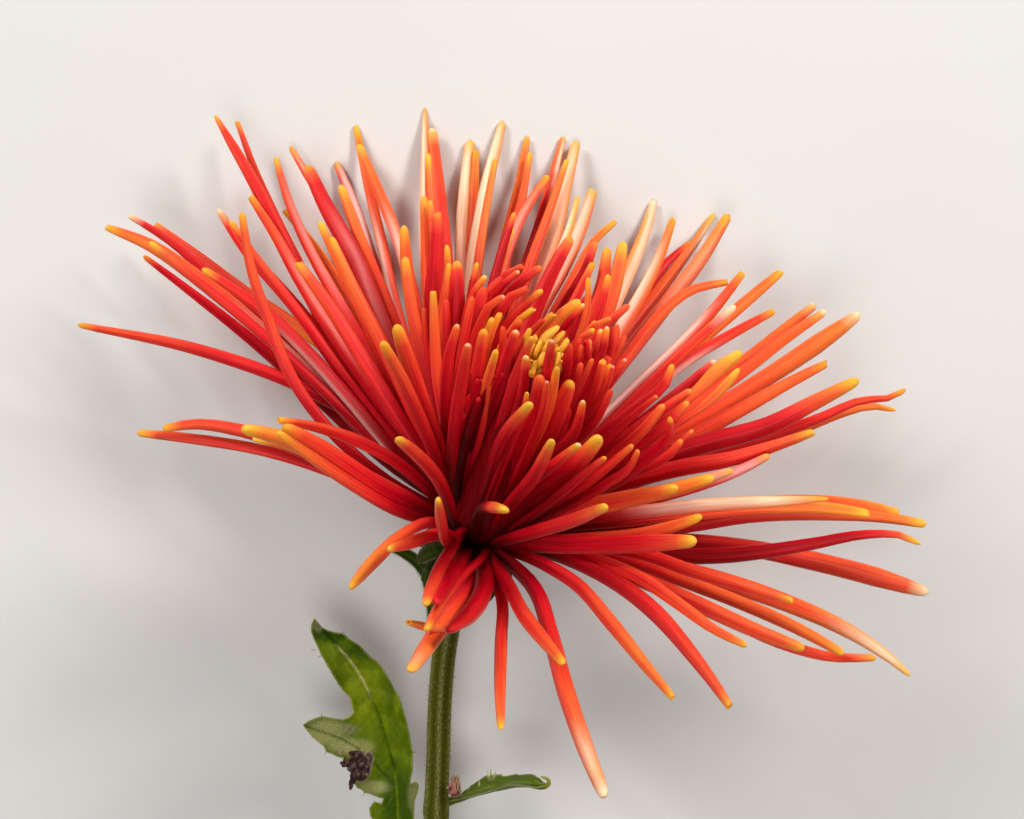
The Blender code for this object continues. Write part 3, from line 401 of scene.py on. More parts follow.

# Florets with a painted cream highlight on their face, partly a paler reverse, by their tip's pixel: its
# place across from -1 to 1, its width, its strength, then where along the floret it starts and ends
PALE_HIGHLIGHT_FLORETS = {
    (470, 143): (-0.5, 0.9, 1.0, 0.3, 1.1), (502, 124): (-0.3, 1.1, 1.0, 0.25, 1.1),
    (425, 110): (-0.5, 0.8, 0.9, 0.3, 1.1), (576, 143): (-0.3, 0.9, 0.75, 0.3, 1.1),
    (563, 138): (0.5, 0.5, 0.9, 0.78, 1.1), (593, 190): (-0.4, 0.8, 0.9, 0.3, 1.1),
    (578, 197): (-0.6, 0.7, 1.0, 0.45, 1.05), (547, 177): (0.0, 0.8, 0.4, 0.4, 1.0),
    (654, 202): (0.3, 0.7, 0.95, 0.4, 1.1), (673, 219): (-0.6, 0.6, 0.95, 0.35, 0.97),
    (713, 216): (0.5, 0.6, 0.9, 0.82, 1.1), (728, 216): (0.0, 0.9, 0.2, 0.3, 1.0),
    (743, 273): (-0.7, 0.5, 0.9, 0.2, 0.92), (774, 311): (0.7, 0.6, 0.85, 0.15, 0.85),
    (337, 164): (0.4, 0.7, 1.0, 0.62, 1.2), (356, 127): (-0.5, 0.6, 0.95, 0.2, 0.82),
    (359, 146): (-0.2, 0.7, 0.85, 0.25, 0.85), (155, 224): (0.3, 0.6, 0.4, 0.2, 0.55),
    (826, 499): (-0.3, 0.9, 0.95, 0.35, 1.0), (908, 674): (0.0, 0.8, 0.9, 0.74, 1.1),
    (604, 795): (-0.2, 0.8, 0.6, 0.7, 1.05), (411, 670): (0.0, 1.3, 0.45, 0.82, 1.1),
    (731, 471): (0.0, 1.0, 0.8, 0.78, 1.1), (768, 456): (0.0, 1.0, 0.6, 0.7, 1.1),
    (204, 270): (-0.8, 0.4, 0.8, 0.1, 0.8), (106, 227): (0.6, 0.4, 0.5, 0.1, 0.7),
    (276, 159): (0.4, 0.5, 0.3, 0.5, 1.0), (250, 196): (0.3, 0.4, 0.3, 0.4, 0.9),
    (308, 168): (0.3, 0.5, 0.22, 0.4, 0.92), (428, 155): (0.5, 0.5, 0.25, 0.4, 0.9),
    (291, 148): (0.2, 0.5, 0.7, 0.8, 1.05),
}
# The painted highlight: none, its soft edge, its loss under yellow tips, and the warmth under it
NO_HIGHLIGHT = (0.0, 1.0, 0.0, 0.0, 1.0)
HIGHLIGHT_EDGE = 0.18
HIGHLIGHT_LOSS = 0.8
HIGHLIGHT_WARMTH = 0.08
# How much of the painted highlight lies on a floret's upper side, where the light falls
HIGHLIGHT_ABOVE = 0.7
HIGHLIGHT_ABOVE_RISE = 0.8

# Florets with a thin pointed end or a broad one
FORM_OF = {
    (918, 543): POINTED_ALONG, (908, 674): TAPERED_ALONG, (826, 499): TAPERED_ALONG,
    (894, 410): TAPERED_ALONG, (216, 117): TAPERED_ALONG, (425, 110): TAPERED_ALONG,
    (106, 227): BROAD_ALONG, (926, 592): BROAD_ALONG, (858, 315): BROAD_ALONG,
    (351, 587): BROAD_ALONG,
}
# Florets with a painted white glint at their end, by their tip's pixel: its length in mm
WHITE_GLINT_ENDS = {
    (130, 216): 1.7, (858, 315): 1.8, (815, 305): 1.2, (824, 312): 1.2, (734, 307): 4.0,
    (926, 592): 2.2, (604, 795): 2.3, (432, 130): 1.2, (714, 362): 0.8, (219, 211): 1.4,
    (654, 202): 4.0,
}
WHITE_GLINT_STRENGTH = 0.75
WHITE_GLINT_SOFTNESS = 1.3

# Colours as light levels from 0 to 1: along a floret's blush, whose darkest end is partly painted shade, then
# of the painted cream highlight and of its pinker kind on redder parts
FLORET_COLOURS = (
    (0.0, (0.05, 0.0, 0.001)), (0.16, (0.24, 0.0, 0.004)), (0.32, (0.55, 0.001, 0.012)),
    (0.46, (0.76, 0.022, 0.022)), (0.6, (0.90, 0.10, 0.03)), (0.74, (0.95, 0.23, 0.035)),
    (0.88, (0.97, 0.40, 0.03)), (0.95, (0.99, 0.50, 0.045)), (1.0, (0.98, 0.53, 0.045)),
)
CREAM_HIGHLIGHT = (1.0, 0.84, 0.60)
PINKISH_HIGHLIGHT = (1.0, 0.76, 0.68)

# Tips of the florets: rounded, or open with a slanted or toothed edge
OPEN_TIP_TURN = 35.0
CLOSED_TIP_TURN = 80.0
OPEN_SHARE = 0.25
OPEN_TEETH = 3
FORK_TEETH = 2
TIP_SLANT = 0.35
TEETH_HEIGHT = 0.2
OPEN_END_DEPTH = 0.5
CLOSED_END_DEPTH = 0.03
# Rings inside an open tip: how narrow they are, their depth in widths, and how much painted shade darkens
# them
INNER_RINGS = ((0.72, 0.0, 0.0), (0.6, 0.5, 0.2))

# Colours of single florets: margins lighter as painted light, grooves darker as painted shade, tips,
# small painted glints on tips, and glow under yellow tips
LIT_MARGIN_BLUSH = 0.03
GROOVE_SHADE_BLUSH = 0.08
STANDING_TIPS = (0.5, 0.6, 0.66, 0.74, 0.84, 0.94)
TIP_LENGTH_SPREAD = (0.75, 1.3)
TIP_BLUSH_SPREAD = (-0.05, 0.03)
GLINT_SHARE = 0.25
GLINT_LENGTH = 0.4
GLINT_STRENGTH = 0.5
BRIGHT_TIP = 1.0
BRIGHT_LENGTH = 4.0
GLOW_REACH = 3.2
GLOW_DROP = 0.34
# A floret darkened from its root as painted shade: how far along, then the soft edge
SHADED_BASES = {(505, 510): 0.62}
SHADED_BASE_EDGE = 0.2
YELLOW_TIPS = {
    (530, 404), (552, 441), (599, 438), (579, 445), (606, 507), (505, 510), (694, 541), (700, 517),
    (676, 488), (712, 478), (244, 429), (254, 439), (279, 433), (438, 500), (856, 381), (740, 353),
    (814, 432), (623, 244), (106, 227), (151, 243), (869, 514), (899, 513), (924, 524), (918, 543),
}
CLOSED_TIPS = {*YELLOW_TIPS, *STYLE_OF["shade_filler"], (389, 549), (427, 629), (426, 604)}
FORKED_TIPS = {(106, 227), (827, 363), (781, 272), (869, 514), (899, 513), (814, 432), (673, 698)}

# Short florets deep among the others, dark as painted shade, and the body that all of them grow from, dark as
# painted shade
GOLDEN_ANGLE = 2.39996
INNER_FLORETS = 110
INNER_RADIUS = 4.6
INNER_REACH = 0.8
INNER_REACH_BEHIND = 4.8
INNER_TOP = 36.0
INNER_FALL = 4.0
INNER_FALL_BEHIND = 10.0
INNER_SHADE_WARMTH = -0.06
INNER_WIDTHS = (1.6, 2.2)
INNER_TURN = 1.2
INNER_RADIUS_SPREAD = 0.3
INNER_TOP_SPREAD = 1.5
# Only those are built that stand at least this far to the upper side, from 0 to 1
INNER_BEHIND = 0.8
# Points of an inner floret: radius with its share of the outer radius, height with its share of the top
INNER_PATH = ((3.2, 0.0, 2.6, 0.0), (2.4, 0.45, 0.0, 0.35), (1.0, 0.8, 0.0, 0.7), (0.0, 1.0, 0.0, 1.0))
CORE_SIDES = 28
CORE_LUMPS = 0.05
CORE_SHADE_BLUSH = 0.12
CORE_PROFILE = ((3.0, -0.5), (4.6, 0.5), (4.8, 6.0), (4.4, 18.0), (4.0, 30.0), (3.7, 38.0), (3.3, 39.2))

# Yellow centre: its dome by radius and height, and its young florets, with rows of longer ones
# by height along the head axis, width, and pixels of tip and foot
EYE_PROFILE = ((2.9, 39.35), (3.4, 40.15), (3.0, 41.2), (1.5, 41.9))
EYE_SIDES = 24
EYE_LUMPS = 0.04
EYE_DOME_BLUSH = 0.3
EYE_FLORETS = 48
EYE_FIRST = 0.4
EYE_ROOT = 0.9
EYE_MARGIN = 0.7
EYE_TOP = 4.4
EYE_TOP_FALL = 1.2
EYE_TOP_SPREAD = 0.8
EYE_FOOT_RADIUS = 0.8
EYE_MIDDLE_RADIUS = 0.95
EYE_LEAN = 0.8
EYE_TURN = 0.3
EYE_WIDTHS = (0.62, 0.92)
EYE_LONG_ROOT = 1.0
EYE_LONG_FALLS = (1.5, 0.0)
EYE_TIP_LENGTH = 1.4
EYE_TIPS = (0.5, 0.9)
EYE_WARMTH_SPREAD = 0.06
EYE_OPEN_SHARE = 0.3
EYE_TEETH = 5
EYE_LONG = (
    (45, 1.3, 558, 327, 541, 343), (44.5, 1.1, 564, 332, 550, 347), (44, 1.1, 568, 339, 558, 352),
    (44.5, 1.0, 530, 329, 526, 340), (44, 1.0, 559, 352, 555, 366), (44.5, 1.0, 544, 353, 538, 365),
    (44, 1.1, 536, 361, 532, 373), (45, 0.9, 541, 341, 536, 353), (45.5, 0.9, 549, 340, 544, 353),
    (44.5, 1.0, 553, 333, 541, 346), (44, 0.9, 535, 344, 531, 355), (44.5, 0.8, 552, 350, 547, 361),
)
EYE_SEED = 11
EYE_BLUSH = ((0.0, 0.1), (0.5, 0.4), (0.8, 0.62), (1.0, 0.72))
EYE_WIDTH_ALONG = ((0.0, 0.7), (0.5, 0.9), (0.8, 1.05), (1.0, 0.7))

# Thin blades: columns across, bend of the cup and the wave, thickness, tone, where the pale margin
# starts, change of tone to the tip, then how brown the blade is and from which part of its length
BLADE_FIELDS = "columns cup wave thickness tone margin tip brown brown_from"
Blade = namedtuple("Blade", BLADE_FIELDS, defaults=(0.0, 0.8))
BLADE_WAVES = 9.0
MOST_BLADE_SEED = 50.0
TOOTH_POWER = 1.5
TOOTH_MIDDLE = 0.4
BROWN_EDGE = 0.2
BLADE_VEIN = 0.14
BLADE_VEIN_TONE = 0.3
BLADE_VEIN_SUNK = -0.35
BLADE_VEIN_RAISED = 1.3

# Green cup by radius and height, and its rows of bracts: number, turn, then reach and height
CUP_PROFILE = ((2.7, -8.6), (4.4, -6.8), (6.4, -3.6), (7.1, -1.6), (6.7, -1.05))
BRACT_ROWS = (
    (13, 0.3, ((4.6, -2.2), (7.0, -3.2), (8.8, -5.0))),
    (13, 0.8, ((5.2, -3.4), (7.2, -4.8), (8.4, -6.6))),
    (9, 0.1, ((4.2, -5.2), (6.6, -6.6), (8.2, -8.4))),
)
BRACT_WIDTH = 3.4
BRACT_LEAST_WIDTH = 0.62
BRACT_TURN = 0.05
BRACT_STRETCHES = (0.92, 1.04)
BRACT_LIFT = 0.15
BRACT_FORM = (0.75, 1.0, 1.05, 0.85, 0.2)
BRACT_SEED = 17
BRACT_POINTS = 15
CUP_SIDES = 40
CUP_LUMPS = 0.015
CUP_TONE = 0.4
BRACT_BLADE = Blade(6, 0.25, 0.06, 0.45, 0.34, 0.6, -0.1)

# Stem: pixels and height over the head root, from the head to the cut end
STEM_PATH = (
    (462, 575, -6.6), (454, 602, -10.0), (446, 640, -12.6), (440, 700, -14.6),
    (438, 760, -16.0), (436, 819, -17.4), (438, 930, -20.0), (444, 1080, -23.6),
    (450, 1270, -28.05),
)
STEM_TOP = -8.4
STEM_RADIUS = 2.05
STEM_RIBS = 6
STEM_RIB_DEPTH = 0.16
STEM_RIB_POWER = 1.5
STEM_TWIST = 0.25
STEM_ROWS = 150
STEM_SIDES = 60
STEM_NODE = 0.35
STEM_NODE_LENGTH = 0.016
STEM_NODE_SWELL = 0.25
STEM_LUMPS = 0.012
STEM_TONE = 0.36
STEM_RIDGE_TONE = 0.3
STEM_RIDGE_PALE = 0.5
STEM_NODE_BROWN = 0.16
STEM_LOW_BROWN = 0.18
STEM_LOW_RISE = 9.0
STEM_SEED = 29
# Rings of the cut end: how narrow they are, how far back, and how brown
CUT_RINGS = (
    (0.97, -0.08, 0.0), (0.8, -0.1, 0.0), (0.72, -0.02, 0.25), (0.6, 0.04, 0.0), (0.3, 0.14, 0.0),
)
CUT_TONE = 0.9
CUT_BARK = 0.7
CUT_BARK_EDGE = 0.3
CUT_BARK_MARGIN = 0.6
CUT_GRAIN = (0.3, 5.0)
# Hairs and spines: number, radius, share of hairs away from the ridges, how deep they are rooted,
# lengths, shades and bends, then how a hair's foot is shifted and how the hair leans
STEM_HAIRS = 11000
HAIR_RADIUS = 0.036
SPINE_RADIUS = 0.13
HAIRS_OFF_RIDGE = 0.25
HAIR_SUNK = 0.04
HAIR_LENGTHS = (0.25, 0.62)
HAIR_SHADES = (0.5, 1.0)
HAIR_BENDS = (-0.12, 0.02)
HAIR_SHIFT = 0.5
HAIR_LEANS = (-0.9, 0.3)
HAIR_SWING = 0.5
HAIR_RISE = 0.75
HAIR_SEED = 31
# Height of a triangle with even sides, as a part of a side
TRIANGLE_HEIGHT = 0.87
# Leaves: thickness of their solids, and half that of the left leaf's thin blade
LEAF_THICKNESS = 0.7
LEAF_BLADE_HALF = 0.2

# Left leaf: outline, veins and patches in pixels, each patch with its reach and strength
LEAF_LEFT_OUTLINE = (
    (314, 618), (311, 625), (311, 632), (314, 640), (318, 648), (321, 655), (325, 662), (328, 667),
    (333, 676), (338, 684), (343, 691), (349, 697), (351, 702), (352, 708), (353, 712), (349, 717),
    (343, 719), (334, 718), (322, 716), (315, 718), (308, 721), (303, 725), (307, 731), (312, 737),
    (318, 742), (324, 747), (326, 752), (332, 754), (338, 757), (345, 759), (351, 761), (354, 766),
    (350, 772), (351, 778), (354, 783), (357, 788), (362, 790), (364, 793), (370, 794), (378, 797),
    (383, 799), (381, 803), (374, 801), (369, 808), (370, 816), (376, 824), (392, 838), (404, 858),
    (418, 884), (424, 880), (416, 852), (415, 830), (414, 815), (415, 800), (418, 792), (419, 785),
    (416, 781), (411, 783), (411, 779), (413, 770), (413, 760), (413, 752), (411, 741), (409, 730),
    (406, 718), (403, 708), (400, 698), (395, 690), (390, 680), (384, 670), (378, 662), (370, 656),
    (364, 650), (361, 646), (355, 642), (349, 638), (343, 633), (335, 632), (328, 630), (322, 627),
    (318, 622),
)
LEAF_LEFT_VEIN = ((318, 625), (335, 643), (350, 660), (362, 678), (371, 697), (379, 715), (388, 745),
                  (394, 765), (397, 790), (398, 819), (412, 850), (421, 882))
LEAF_SIDE_VEINS = (
    ((303, 725), (320, 730), (340, 735), (355, 741), (365, 750), (385, 770)),
    ((350, 660), (336, 662), (328, 664)), ((362, 678), (350, 680), (342, 688)),
    ((371, 697), (362, 704), (354, 710)), ((356, 668), (372, 668), (380, 668)),
    ((366, 686), (384, 688), (395, 694)), ((376, 708), (392, 716), (405, 722)),
    ((388, 745), (402, 750), (411, 756)), ((394, 765), (380, 780), (366, 788)),
)
LEAF_LEFT_HEIGHT = -19.6
LEAF_LEFT_RISE = 5.0
LEAF_LEFT_FOLD = 0.16
LEAF_FOOT_PX = 882
LEAF_SPAN_PX = 264.0
LEAF_STEP_PX = 2.5
LEAF_COLUMNS_PX = (295, 430)
LEAF_ROWS_PX = (610, 890)
LEAF_SCATTER = 0.5
LEAF_QUILT = 0.3
LEAF_VEIN_GROOVE = 0.2
LEAF_CURL = 0.35
LEAF_FOLDS = 0.45
LEAF_CREASES = 0.25
# How far in pixels the marks of the left leaf reach from their lines
LEAF_QUILT_PX = 6.0
LEAF_GROOVE_PX = 1.8
LEAF_CURL_PX = 3.0
LEAF_VEIN_PX = 1.2
LEAF_SIDE_VEIN_PX = 1.3
LEAF_LOBE_GREY_PX = 1.3
LEAF_WHITE_VEIN_PX = 0.9
LEAF_RIM_PX = 1.5
# Waves of the left leaf: height, then how fast and from where they run to the right and down
LEAF_WAVES = ((0.3, 0.11, 1.0, 0.09, 0.0), (0.05, 0.7, 0.0, 0.6, 2.0))
# Folds of the damaged part: how fast they run to the right and down
FOLD_RUNS = ((0.9, 0.3), (0.0, 0.55))
CREASE_RUN = (1.9, -1.1)
LEAF_GRID = 1.6
LEAF_EDGE = 0.05
LEAF_RIM = 0.9
LEAF_RIM_LEAST = 0.6
LEAF_SCATTER_LEAST = 1.6
LEAF_MERGE = 0.00001
PATCH_SOFTNESS = 1.6
LEAF_SEED = 37
LEAF_TONE = 0.52
LEAF_VEIN_TONE = 0.35
LEAF_SIDE_VEIN_TONE = 0.07
LEAF_LOBE_VEIN_TONE = 0.3
LEAF_RIM_PALE = 0.9
LEAF_VEIN_PALE = 1.6
LEAF_LOBE_GREY_LOSS = 0.85
LEAF_LIGHT = ((362, 696, 18, 30, 0.22), (382, 735, 12, 30, 0.12), (328, 655, 8, 12, 0.1),
              (352, 672, 9, 16, 0.16), (397, 703, 3, 12, 0.25))
LEAF_DARK = ((332, 632, 20, 9, 0.3), (362, 650, 16, 9, 0.22), (392, 715, 6, 24, 0.1),
             (400, 800, 16, 30, 0.26), (380, 745, 6, 22, 0.12))
LEAF_GREY = ((325, 732, 22, 13, 0.75), (345, 745, 16, 7, 0.85), (360, 747, 12, 7, 0.6),
             (374, 787, 13, 6, 0.7), (413, 795, 5, 14, 0.4), (318, 626, 5, 5, 0.5))
LEAF_DAMAGE = ((361, 768, 9, 13, 0.8), (356, 754, 8, 4, 0.7), (352, 729, 9, 6, 0.36),
               (343, 752, 8, 4, 0.36), (369, 759, 5, 8, 0.55))
LEAF_WHITE_VEIN = (642, 705)
LEAF_LIGHT_VEIN = 765
# How many pixels the white vein takes to begin and to end, and the light one to begin
LEAF_FADES_PX = (10.0, 25.0, 15.0)
LEAF_LOBE_VEIN = ((303, 725), (320, 731), (340, 738), (355, 746), (370, 758), (388, 778))
LEAF_SPINES = ((314, 650, -1.0, 0.1), (321, 656, -0.8, 0.3), (328, 667, -0.8, -0.4),
               (338, 684, -0.9, -0.3), (343, 633, 0.1, -1.0), (361, 647, 0.6, -0.8),
               (414, 752, 1.0, -0.1), (326, 752, -0.5, 0.8), (322, 716, -0.2, -1.0),
               (364, 793, -0.4, 0.9), (315, 624, 0.2, -1.0), (354, 783, -1.0, 0.2))
LEAF_SPINE_LENGTH = 1.0
SPINE_LENGTHS = (0.8, 1.25)
SPINE_RISE = 0.35
LEAF_TOOTH = (2.1, 0.32)
LEAF_SHREDS = (((355, 757), (351, 766), (354, 776), (349, 785)), ((360, 770), (353, 778), (350, 790)),
               ((348, 760), (343, 764), (340, 762)))
SHRED_BLADE = Blade(4, 0.5, 0.5, 0.35, 0.2, 0.6, -0.1, 1.0, -0.2)
SHRED_WIDTHS = (1.4, 1.8, 1.2, 0.3)
SHRED_POINTS = 13
SHRED_LIFT = 0.3
SHRED_STEP = 0.4
SHRED_TEETH = (4.0, 0.5)
SHRED_SEED = 5.0
SHRED_FACE = Vector((0.4, 0.2, 1.0))
LEAF_LEFT_STALK = ((417, 868, -19.2), (424, 886, -19.6), (432, 900, -19.6), (439, 912, -19.6))
LEAF_LEFT_STALK_HALVES = (1.1, 0.9)
STALK_BLADE = Blade(8, -0.2, 0.0, 1.1, 0.5, 0.7, -0.1)
STALK_STEPS = 10
STALK_SEED = 3.0

# Right leaf, seen from its edge, and the narrow bract leaf under the head
LEAF_RIGHT_LINE = ((450, 801, -17.6), (458, 799, -17.2), (468, 795, -16.6), (478, 791.5, -15.8),
                   (488, 789, -15.0), (500, 787, -14.2), (515, 784, -13.4), (530, 784, -12.6),
                   (540, 786, -12.0), (546, 785, -11.6))
LEAF_RIGHT_WIDTHS = (1.4, 4.0, 7.6, 8.6, 8.2, 7.6, 7.8, 7.2, 4.6, 0.6)
LEAF_RIGHT_POINTS = 60
LEAF_RIGHT_SEED = 11.0
LEAF_RIGHT_TEETH = (6.0, 0.12)
LEAF_RIGHT_HOOK = ((534, 783, -12.4), (542, 786, -11.9), (548, 785, -11.4), (549, 781, -10.9),
                   (546, 778, -10.6), (542, 777, -10.4))
LEAF_RIGHT_HOOK_HALVES = (0.6, 0.22)
LEAF_RIGHT_SPINES = ((491, 778, 0.0, -1.0), (489.5, 780, -0.25, -1.0), (493, 780, 0.3, -0.9),
                     (479, 787, 0.1, -1.0), (467, 791, 0.5, -0.8))
LEAF_RIGHT_FACE = Vector((0.0, 1.0, 0.24))
LEAF_RIGHT_STALK = ((440, 806, -17.4), (446, 803, -17.5), (454, 800, -17.5), (462, 798, -17.1))
LEAF_RIGHT_STALK_HALVES = (0.95, 0.6)
# Heights of the right leaf's upper edge at a pixel on its left and one on its right
LEAF_RIGHT_SPAN_PX = (452, 549)
LEAF_RIGHT_HEIGHTS = (-15.5, -10.5)
LEAF_BLADE = Blade(12, 0.2, 0.1, 0.6, 0.4, 0.92, -0.05)
HOOK_BLADE = Blade(8, -0.2, 0.0, 0.9, 0.5, 0.5, 0.5)
BRACT_LEAF_LINE = ((431, 622, -11.4), (430, 594, -11.0), (424, 573, -9.6), (410, 558, -7.2),
                   (396, 551, -5.0), (384, 547, -3.6))
BRACT_LEAF_WIDTHS = (1.4, 2.3, 2.9, 2.7, 2.0, 0.7)
BRACT_LEAF_POINTS = 36
BRACT_LEAF_SEED = 23.0
BRACT_LEAF_TEETH = (5.0, 0.1)
BRACT_LEAF_FACE = Vector((0.5, 0.5, 1.0))
BRACT_LEAF_HAIRS = 900
BRACT_HAIR_LENGTHS = (0.2, 0.5)
BRACT_HAIR_LEANS = (-0.3, 0.7)
BRACT_HAIR_PLACE = 0.96
NARROW_BLADE = Blade(8, 0.3, 0.05, 0.5, 0.3, 0.72, -0.1, 0.5)

# Bud in the angle of the right leaf: pixels and heights of its foot and its top
BUD_BASE = (452.5, 798, -14.2)
BUD_TOP = (456, 776, -12.6)
BUD_SCALES = 13
BUD_SEED = 41
# Scales of the bud: start along it, width of the lowest and loss of the highest, and the points of one
# scale by its share along the bud, its distance from the middle, and its share of the width
BUD_STARTS = (0.04, 0.5)
BUD_SPREADS = (1.15, 0.7)
BUD_SCALE = ((0.0, 0.15, 0.0), (0.2, 0.0, 0.95), (0.4, 0.0, 0.8), (0.55, 0.0, 0.75))
BUD_TIP_SPREAD = 0.08
BUD_BLADE = Blade(5, 0.5, 0.0, 0.3, 0.12, 0.9, 0.5)
BUD_WIDTHS = (0.7, 1.3, 1.1, 0.6, 0.1)
BUD_POINTS = 13

# Colours of the yellow centre and the green parts, and of their pale margins and brown parts
DISC_COLOURS = ((0.0, (0.18, 0.03, 0.003)), (0.3, (0.5, 0.15, 0.006)), (0.6, (0.78, 0.33, 0.01)),
                (0.85, (0.92, 0.47, 0.03)), (1.0, (0.98, 0.64, 0.14)))
STEM_COLOURS = ((0.0, (0.025, 0.027, 0.001)), (0.35, (0.055, 0.06, 0.002)),
                (0.65, (0.095, 0.1, 0.004)), (1.0, (0.21, 0.21, 0.03)))
STEM_PALE = (0.42, 0.39, 0.2)
STEM_BROWN = ((0.14, 0.07, 0.035), (0.26, 0.15, 0.1))
LEAF_COLOURS = ((0.0, (0.016, 0.04, 0.0005)), (0.3, (0.048, 0.095, 0.001)),
                (0.55, (0.12, 0.178, 0.001)), (0.8, (0.225, 0.285, 0.004)), (1.0, (0.38, 0.41, 0.06)))
LEAF_PALE = (0.5, 0.47, 0.2)
LEAF_BROWN = ((0.05, 0.022, 0.02), (0.33, 0.23, 0.17))
BRACT_COLOURS = ((0.0, (0.012, 0.02, 0.001)), (0.5, (0.042, 0.058, 0.004)), (1.0, (0.13, 0.15, 0.025)))
BRACT_PALE = (0.2, 0.2, 0.1)
BRACT_BROWN = ((0.2, 0.09, 0.04), (0.3, 0.18, 0.1))
BUD_COLOURS = ((0.0, (0.12, 0.01, 0.025)), (0.35, (0.34, 0.05, 0.09)), (0.65, (0.4, 0.3, 0.18)),
               (1.0, (0.5, 0.55, 0.35)))
# Green skins: colours, pale colour, brown colours, grain of the fibres and of the specks, roughness
# where smoothest and roughest, and how much the pale parts stay where there are no specks
GREEN_SKINS = {
    "leaf_skin": (LEAF_COLOURS, LEAF_PALE, LEAF_BROWN, (0.9, 0.5, 1.0), (4.0, 4.0, 1.0), (0.3, 0.5), 0.45),
    "stem_skin": (STEM_COLOURS, STEM_PALE, STEM_BROWN, (3.0, 0.14, 1.0), (3.2, 1.8, 1.0), (0.4, 0.65), 0.0),
    "bract_skin": (BRACT_COLOURS, BRACT_PALE, BRACT_BROWN, (2.5, 0.3, 1.0), (3.0, 2.0, 1.0), (0.4, 0.7), 0.3),
    "bud_skin": (BUD_COLOURS, LEAF_PALE, LEAF_BROWN, (1.0, 0.3, 1.0), (1.5, 1.2, 1.0), (0.4, 0.6), 0.5),
}
MOTTLE_GRAIN = (0.5, 0.35, 1.0)
CRUMB_GRAIN = (1.0, 0.8, 1.0)
FIBRE_STRENGTH = 0.4
SPECK_STRENGTH = 0.35
MOTTLE_STRENGTH = 0.16
CRUMB_STRENGTH = 0.6
# Detail and roughness of the noise, then ranges: pale margin, pale specks that are partly hairs and partly
# painted sheen, dry crumbs, the dark edge of a brown part and its reach
FIBRE_NOISE = (4.0, 0.6)
SPECK_NOISE = (4.0, 0.7)
CRUMB_NOISE = (8.0, 0.7)
MARGIN_RANGE = (0.4, 0.62)
PALE_SPECK_AND_SHEEN_RANGE = (0.6, 0.74, 0.0, 0.4)
DRY_RANGE = (0.5, 0.72)
BROWN_RIM_RANGE = (0.42, 0.54)
BROWN_RANGE = (0.26, 0.5)
GLOSS_FROM = (0.2, 0.8)

# Red floret skin: grain across, along and from floret to floret, and the strength of its lines; the third
# grain is that of the streaky noise in the painted highlight
LINE_GRAIN = (4.0, 0.14, 1.0)
CLOUD_GRAIN = (0.35, 0.12, 1.0)
HIGHLIGHT_STREAK_GRAIN = (2.4, 0.1, 3.0)
VEIN_GRAIN = (1.0, 0.05, 1.0)
LINE_STRENGTH = 0.17
CLOUD_STRENGTH = 0.14
# Thin dark veins along the florets
VEINS_PER_MM = 0.5
VEIN_DEPTH = 0.065
VEIN_BEND = 1.6
VEIN_BENDS = 0.8
VEIN_START = 0.86
# Ranges of values: from these two, to these two. The first two shape the painted highlight's tint and its
# streaky noise
CREAM_HIGHLIGHT_RANGE = (0.5, 0.72)
HIGHLIGHT_STREAK_RANGE = (0.3, 0.6, 0.6)
FLORET_GLOSS = (0.2, 0.8, 0.34, 0.56)
FLORET_SKIN = {
    "Specular_IOR_Level": 0.24, "Specular_Tint": (1.0, 0.6, 0.5, 1.0), "Coat_Weight": 0.14,
    "Coat_Roughness": 0.32, "Coat_IOR": 1.4, "Subsurface_Weight": 0.12, "Subsurface_Scale": 0.0006,
    "Subsurface_Radius": (1.0, 0.2, 0.08),
}

# Skin of the yellow centre, then the shine of green parts and the relief of green parts and florets
DISC_GRAIN = (1.0, 1.0, 1.0)
SPECKLES_PER_MM = 2.6
SPECKLE_STRENGTH = 0.3
SPECKLE_BUMP = (0.5, 0.0001)
DISC_GLOSS = (0.2, 0.8, 0.35, 0.6)
DISC_SKIN = {
    "Subsurface_Weight": 0.15, "Subsurface_Scale": 0.0005, "Subsurface_Radius": (1.0, 0.6, 0.15),
    "Specular_IOR_Level": 0.4,
}
GREEN_SHINE = 0.07
BUMP = 0.6
BUMP_HEIGHT = 0.00014

# Surroundings: the pale floor and soft lights, with their places in m and power in W.
FLOOR_SIZE = 6.0
EXPOSURE = 0.0
LIGHT_TARGET = (0.0, 0.03, 0.03)
LIGHTS = (
    ("key", (0.42, 0.45, 0.5), 0.2, 4.2, (1.0, 0.97, 0.93)),
    ("side", (-0.42, 0.5, 0.42), 0.2, 3.1, (1.0, 0.97, 0.94)),
    ("top", (-0.05, -0.25, 0.9), 0.4, 3.2, (1.0, 1.0, 1.0)),
)
WORLD_COLOUR = (0.9, 0.93, 1.0)
WORLD_STRENGTH = 0.06
FLOOR_COLOURS = ((0.3, (0.68, 0.67, 0.65)), (0.7, (0.73, 0.72, 0.70)))
FLOOR_ROUGHNESS = 0.85
FLOOR_BUMP = (0.15, 0.0001)
FLOOR_TOOTH_SCALE = 900.0
FLOOR_WASH_SCALE = 6.0


def row_point(px, py, height):
    """Return the row frame point seen at a pixel, at a height over the head root."""
    nearness = (VIEW_DISTANCE - height) / VIEW_DISTANCE
    across = (px - CENTRE_PX[0]) * nearness - (ROOT_PX[0] - CENTRE_PX[0])
    down = (py - CENTRE_PX[1]) * nearness - (ROOT_PX[1] - CENTRE_PX[1])
    return HEAD_ROOT + Vector((across / PX_PER_MM, -down / PX_PER_MM, height))


def row_points(rows):
    """Return the row frame points of pixels with their heights over the head root."""
    return [row_point(*row) for row in rows]


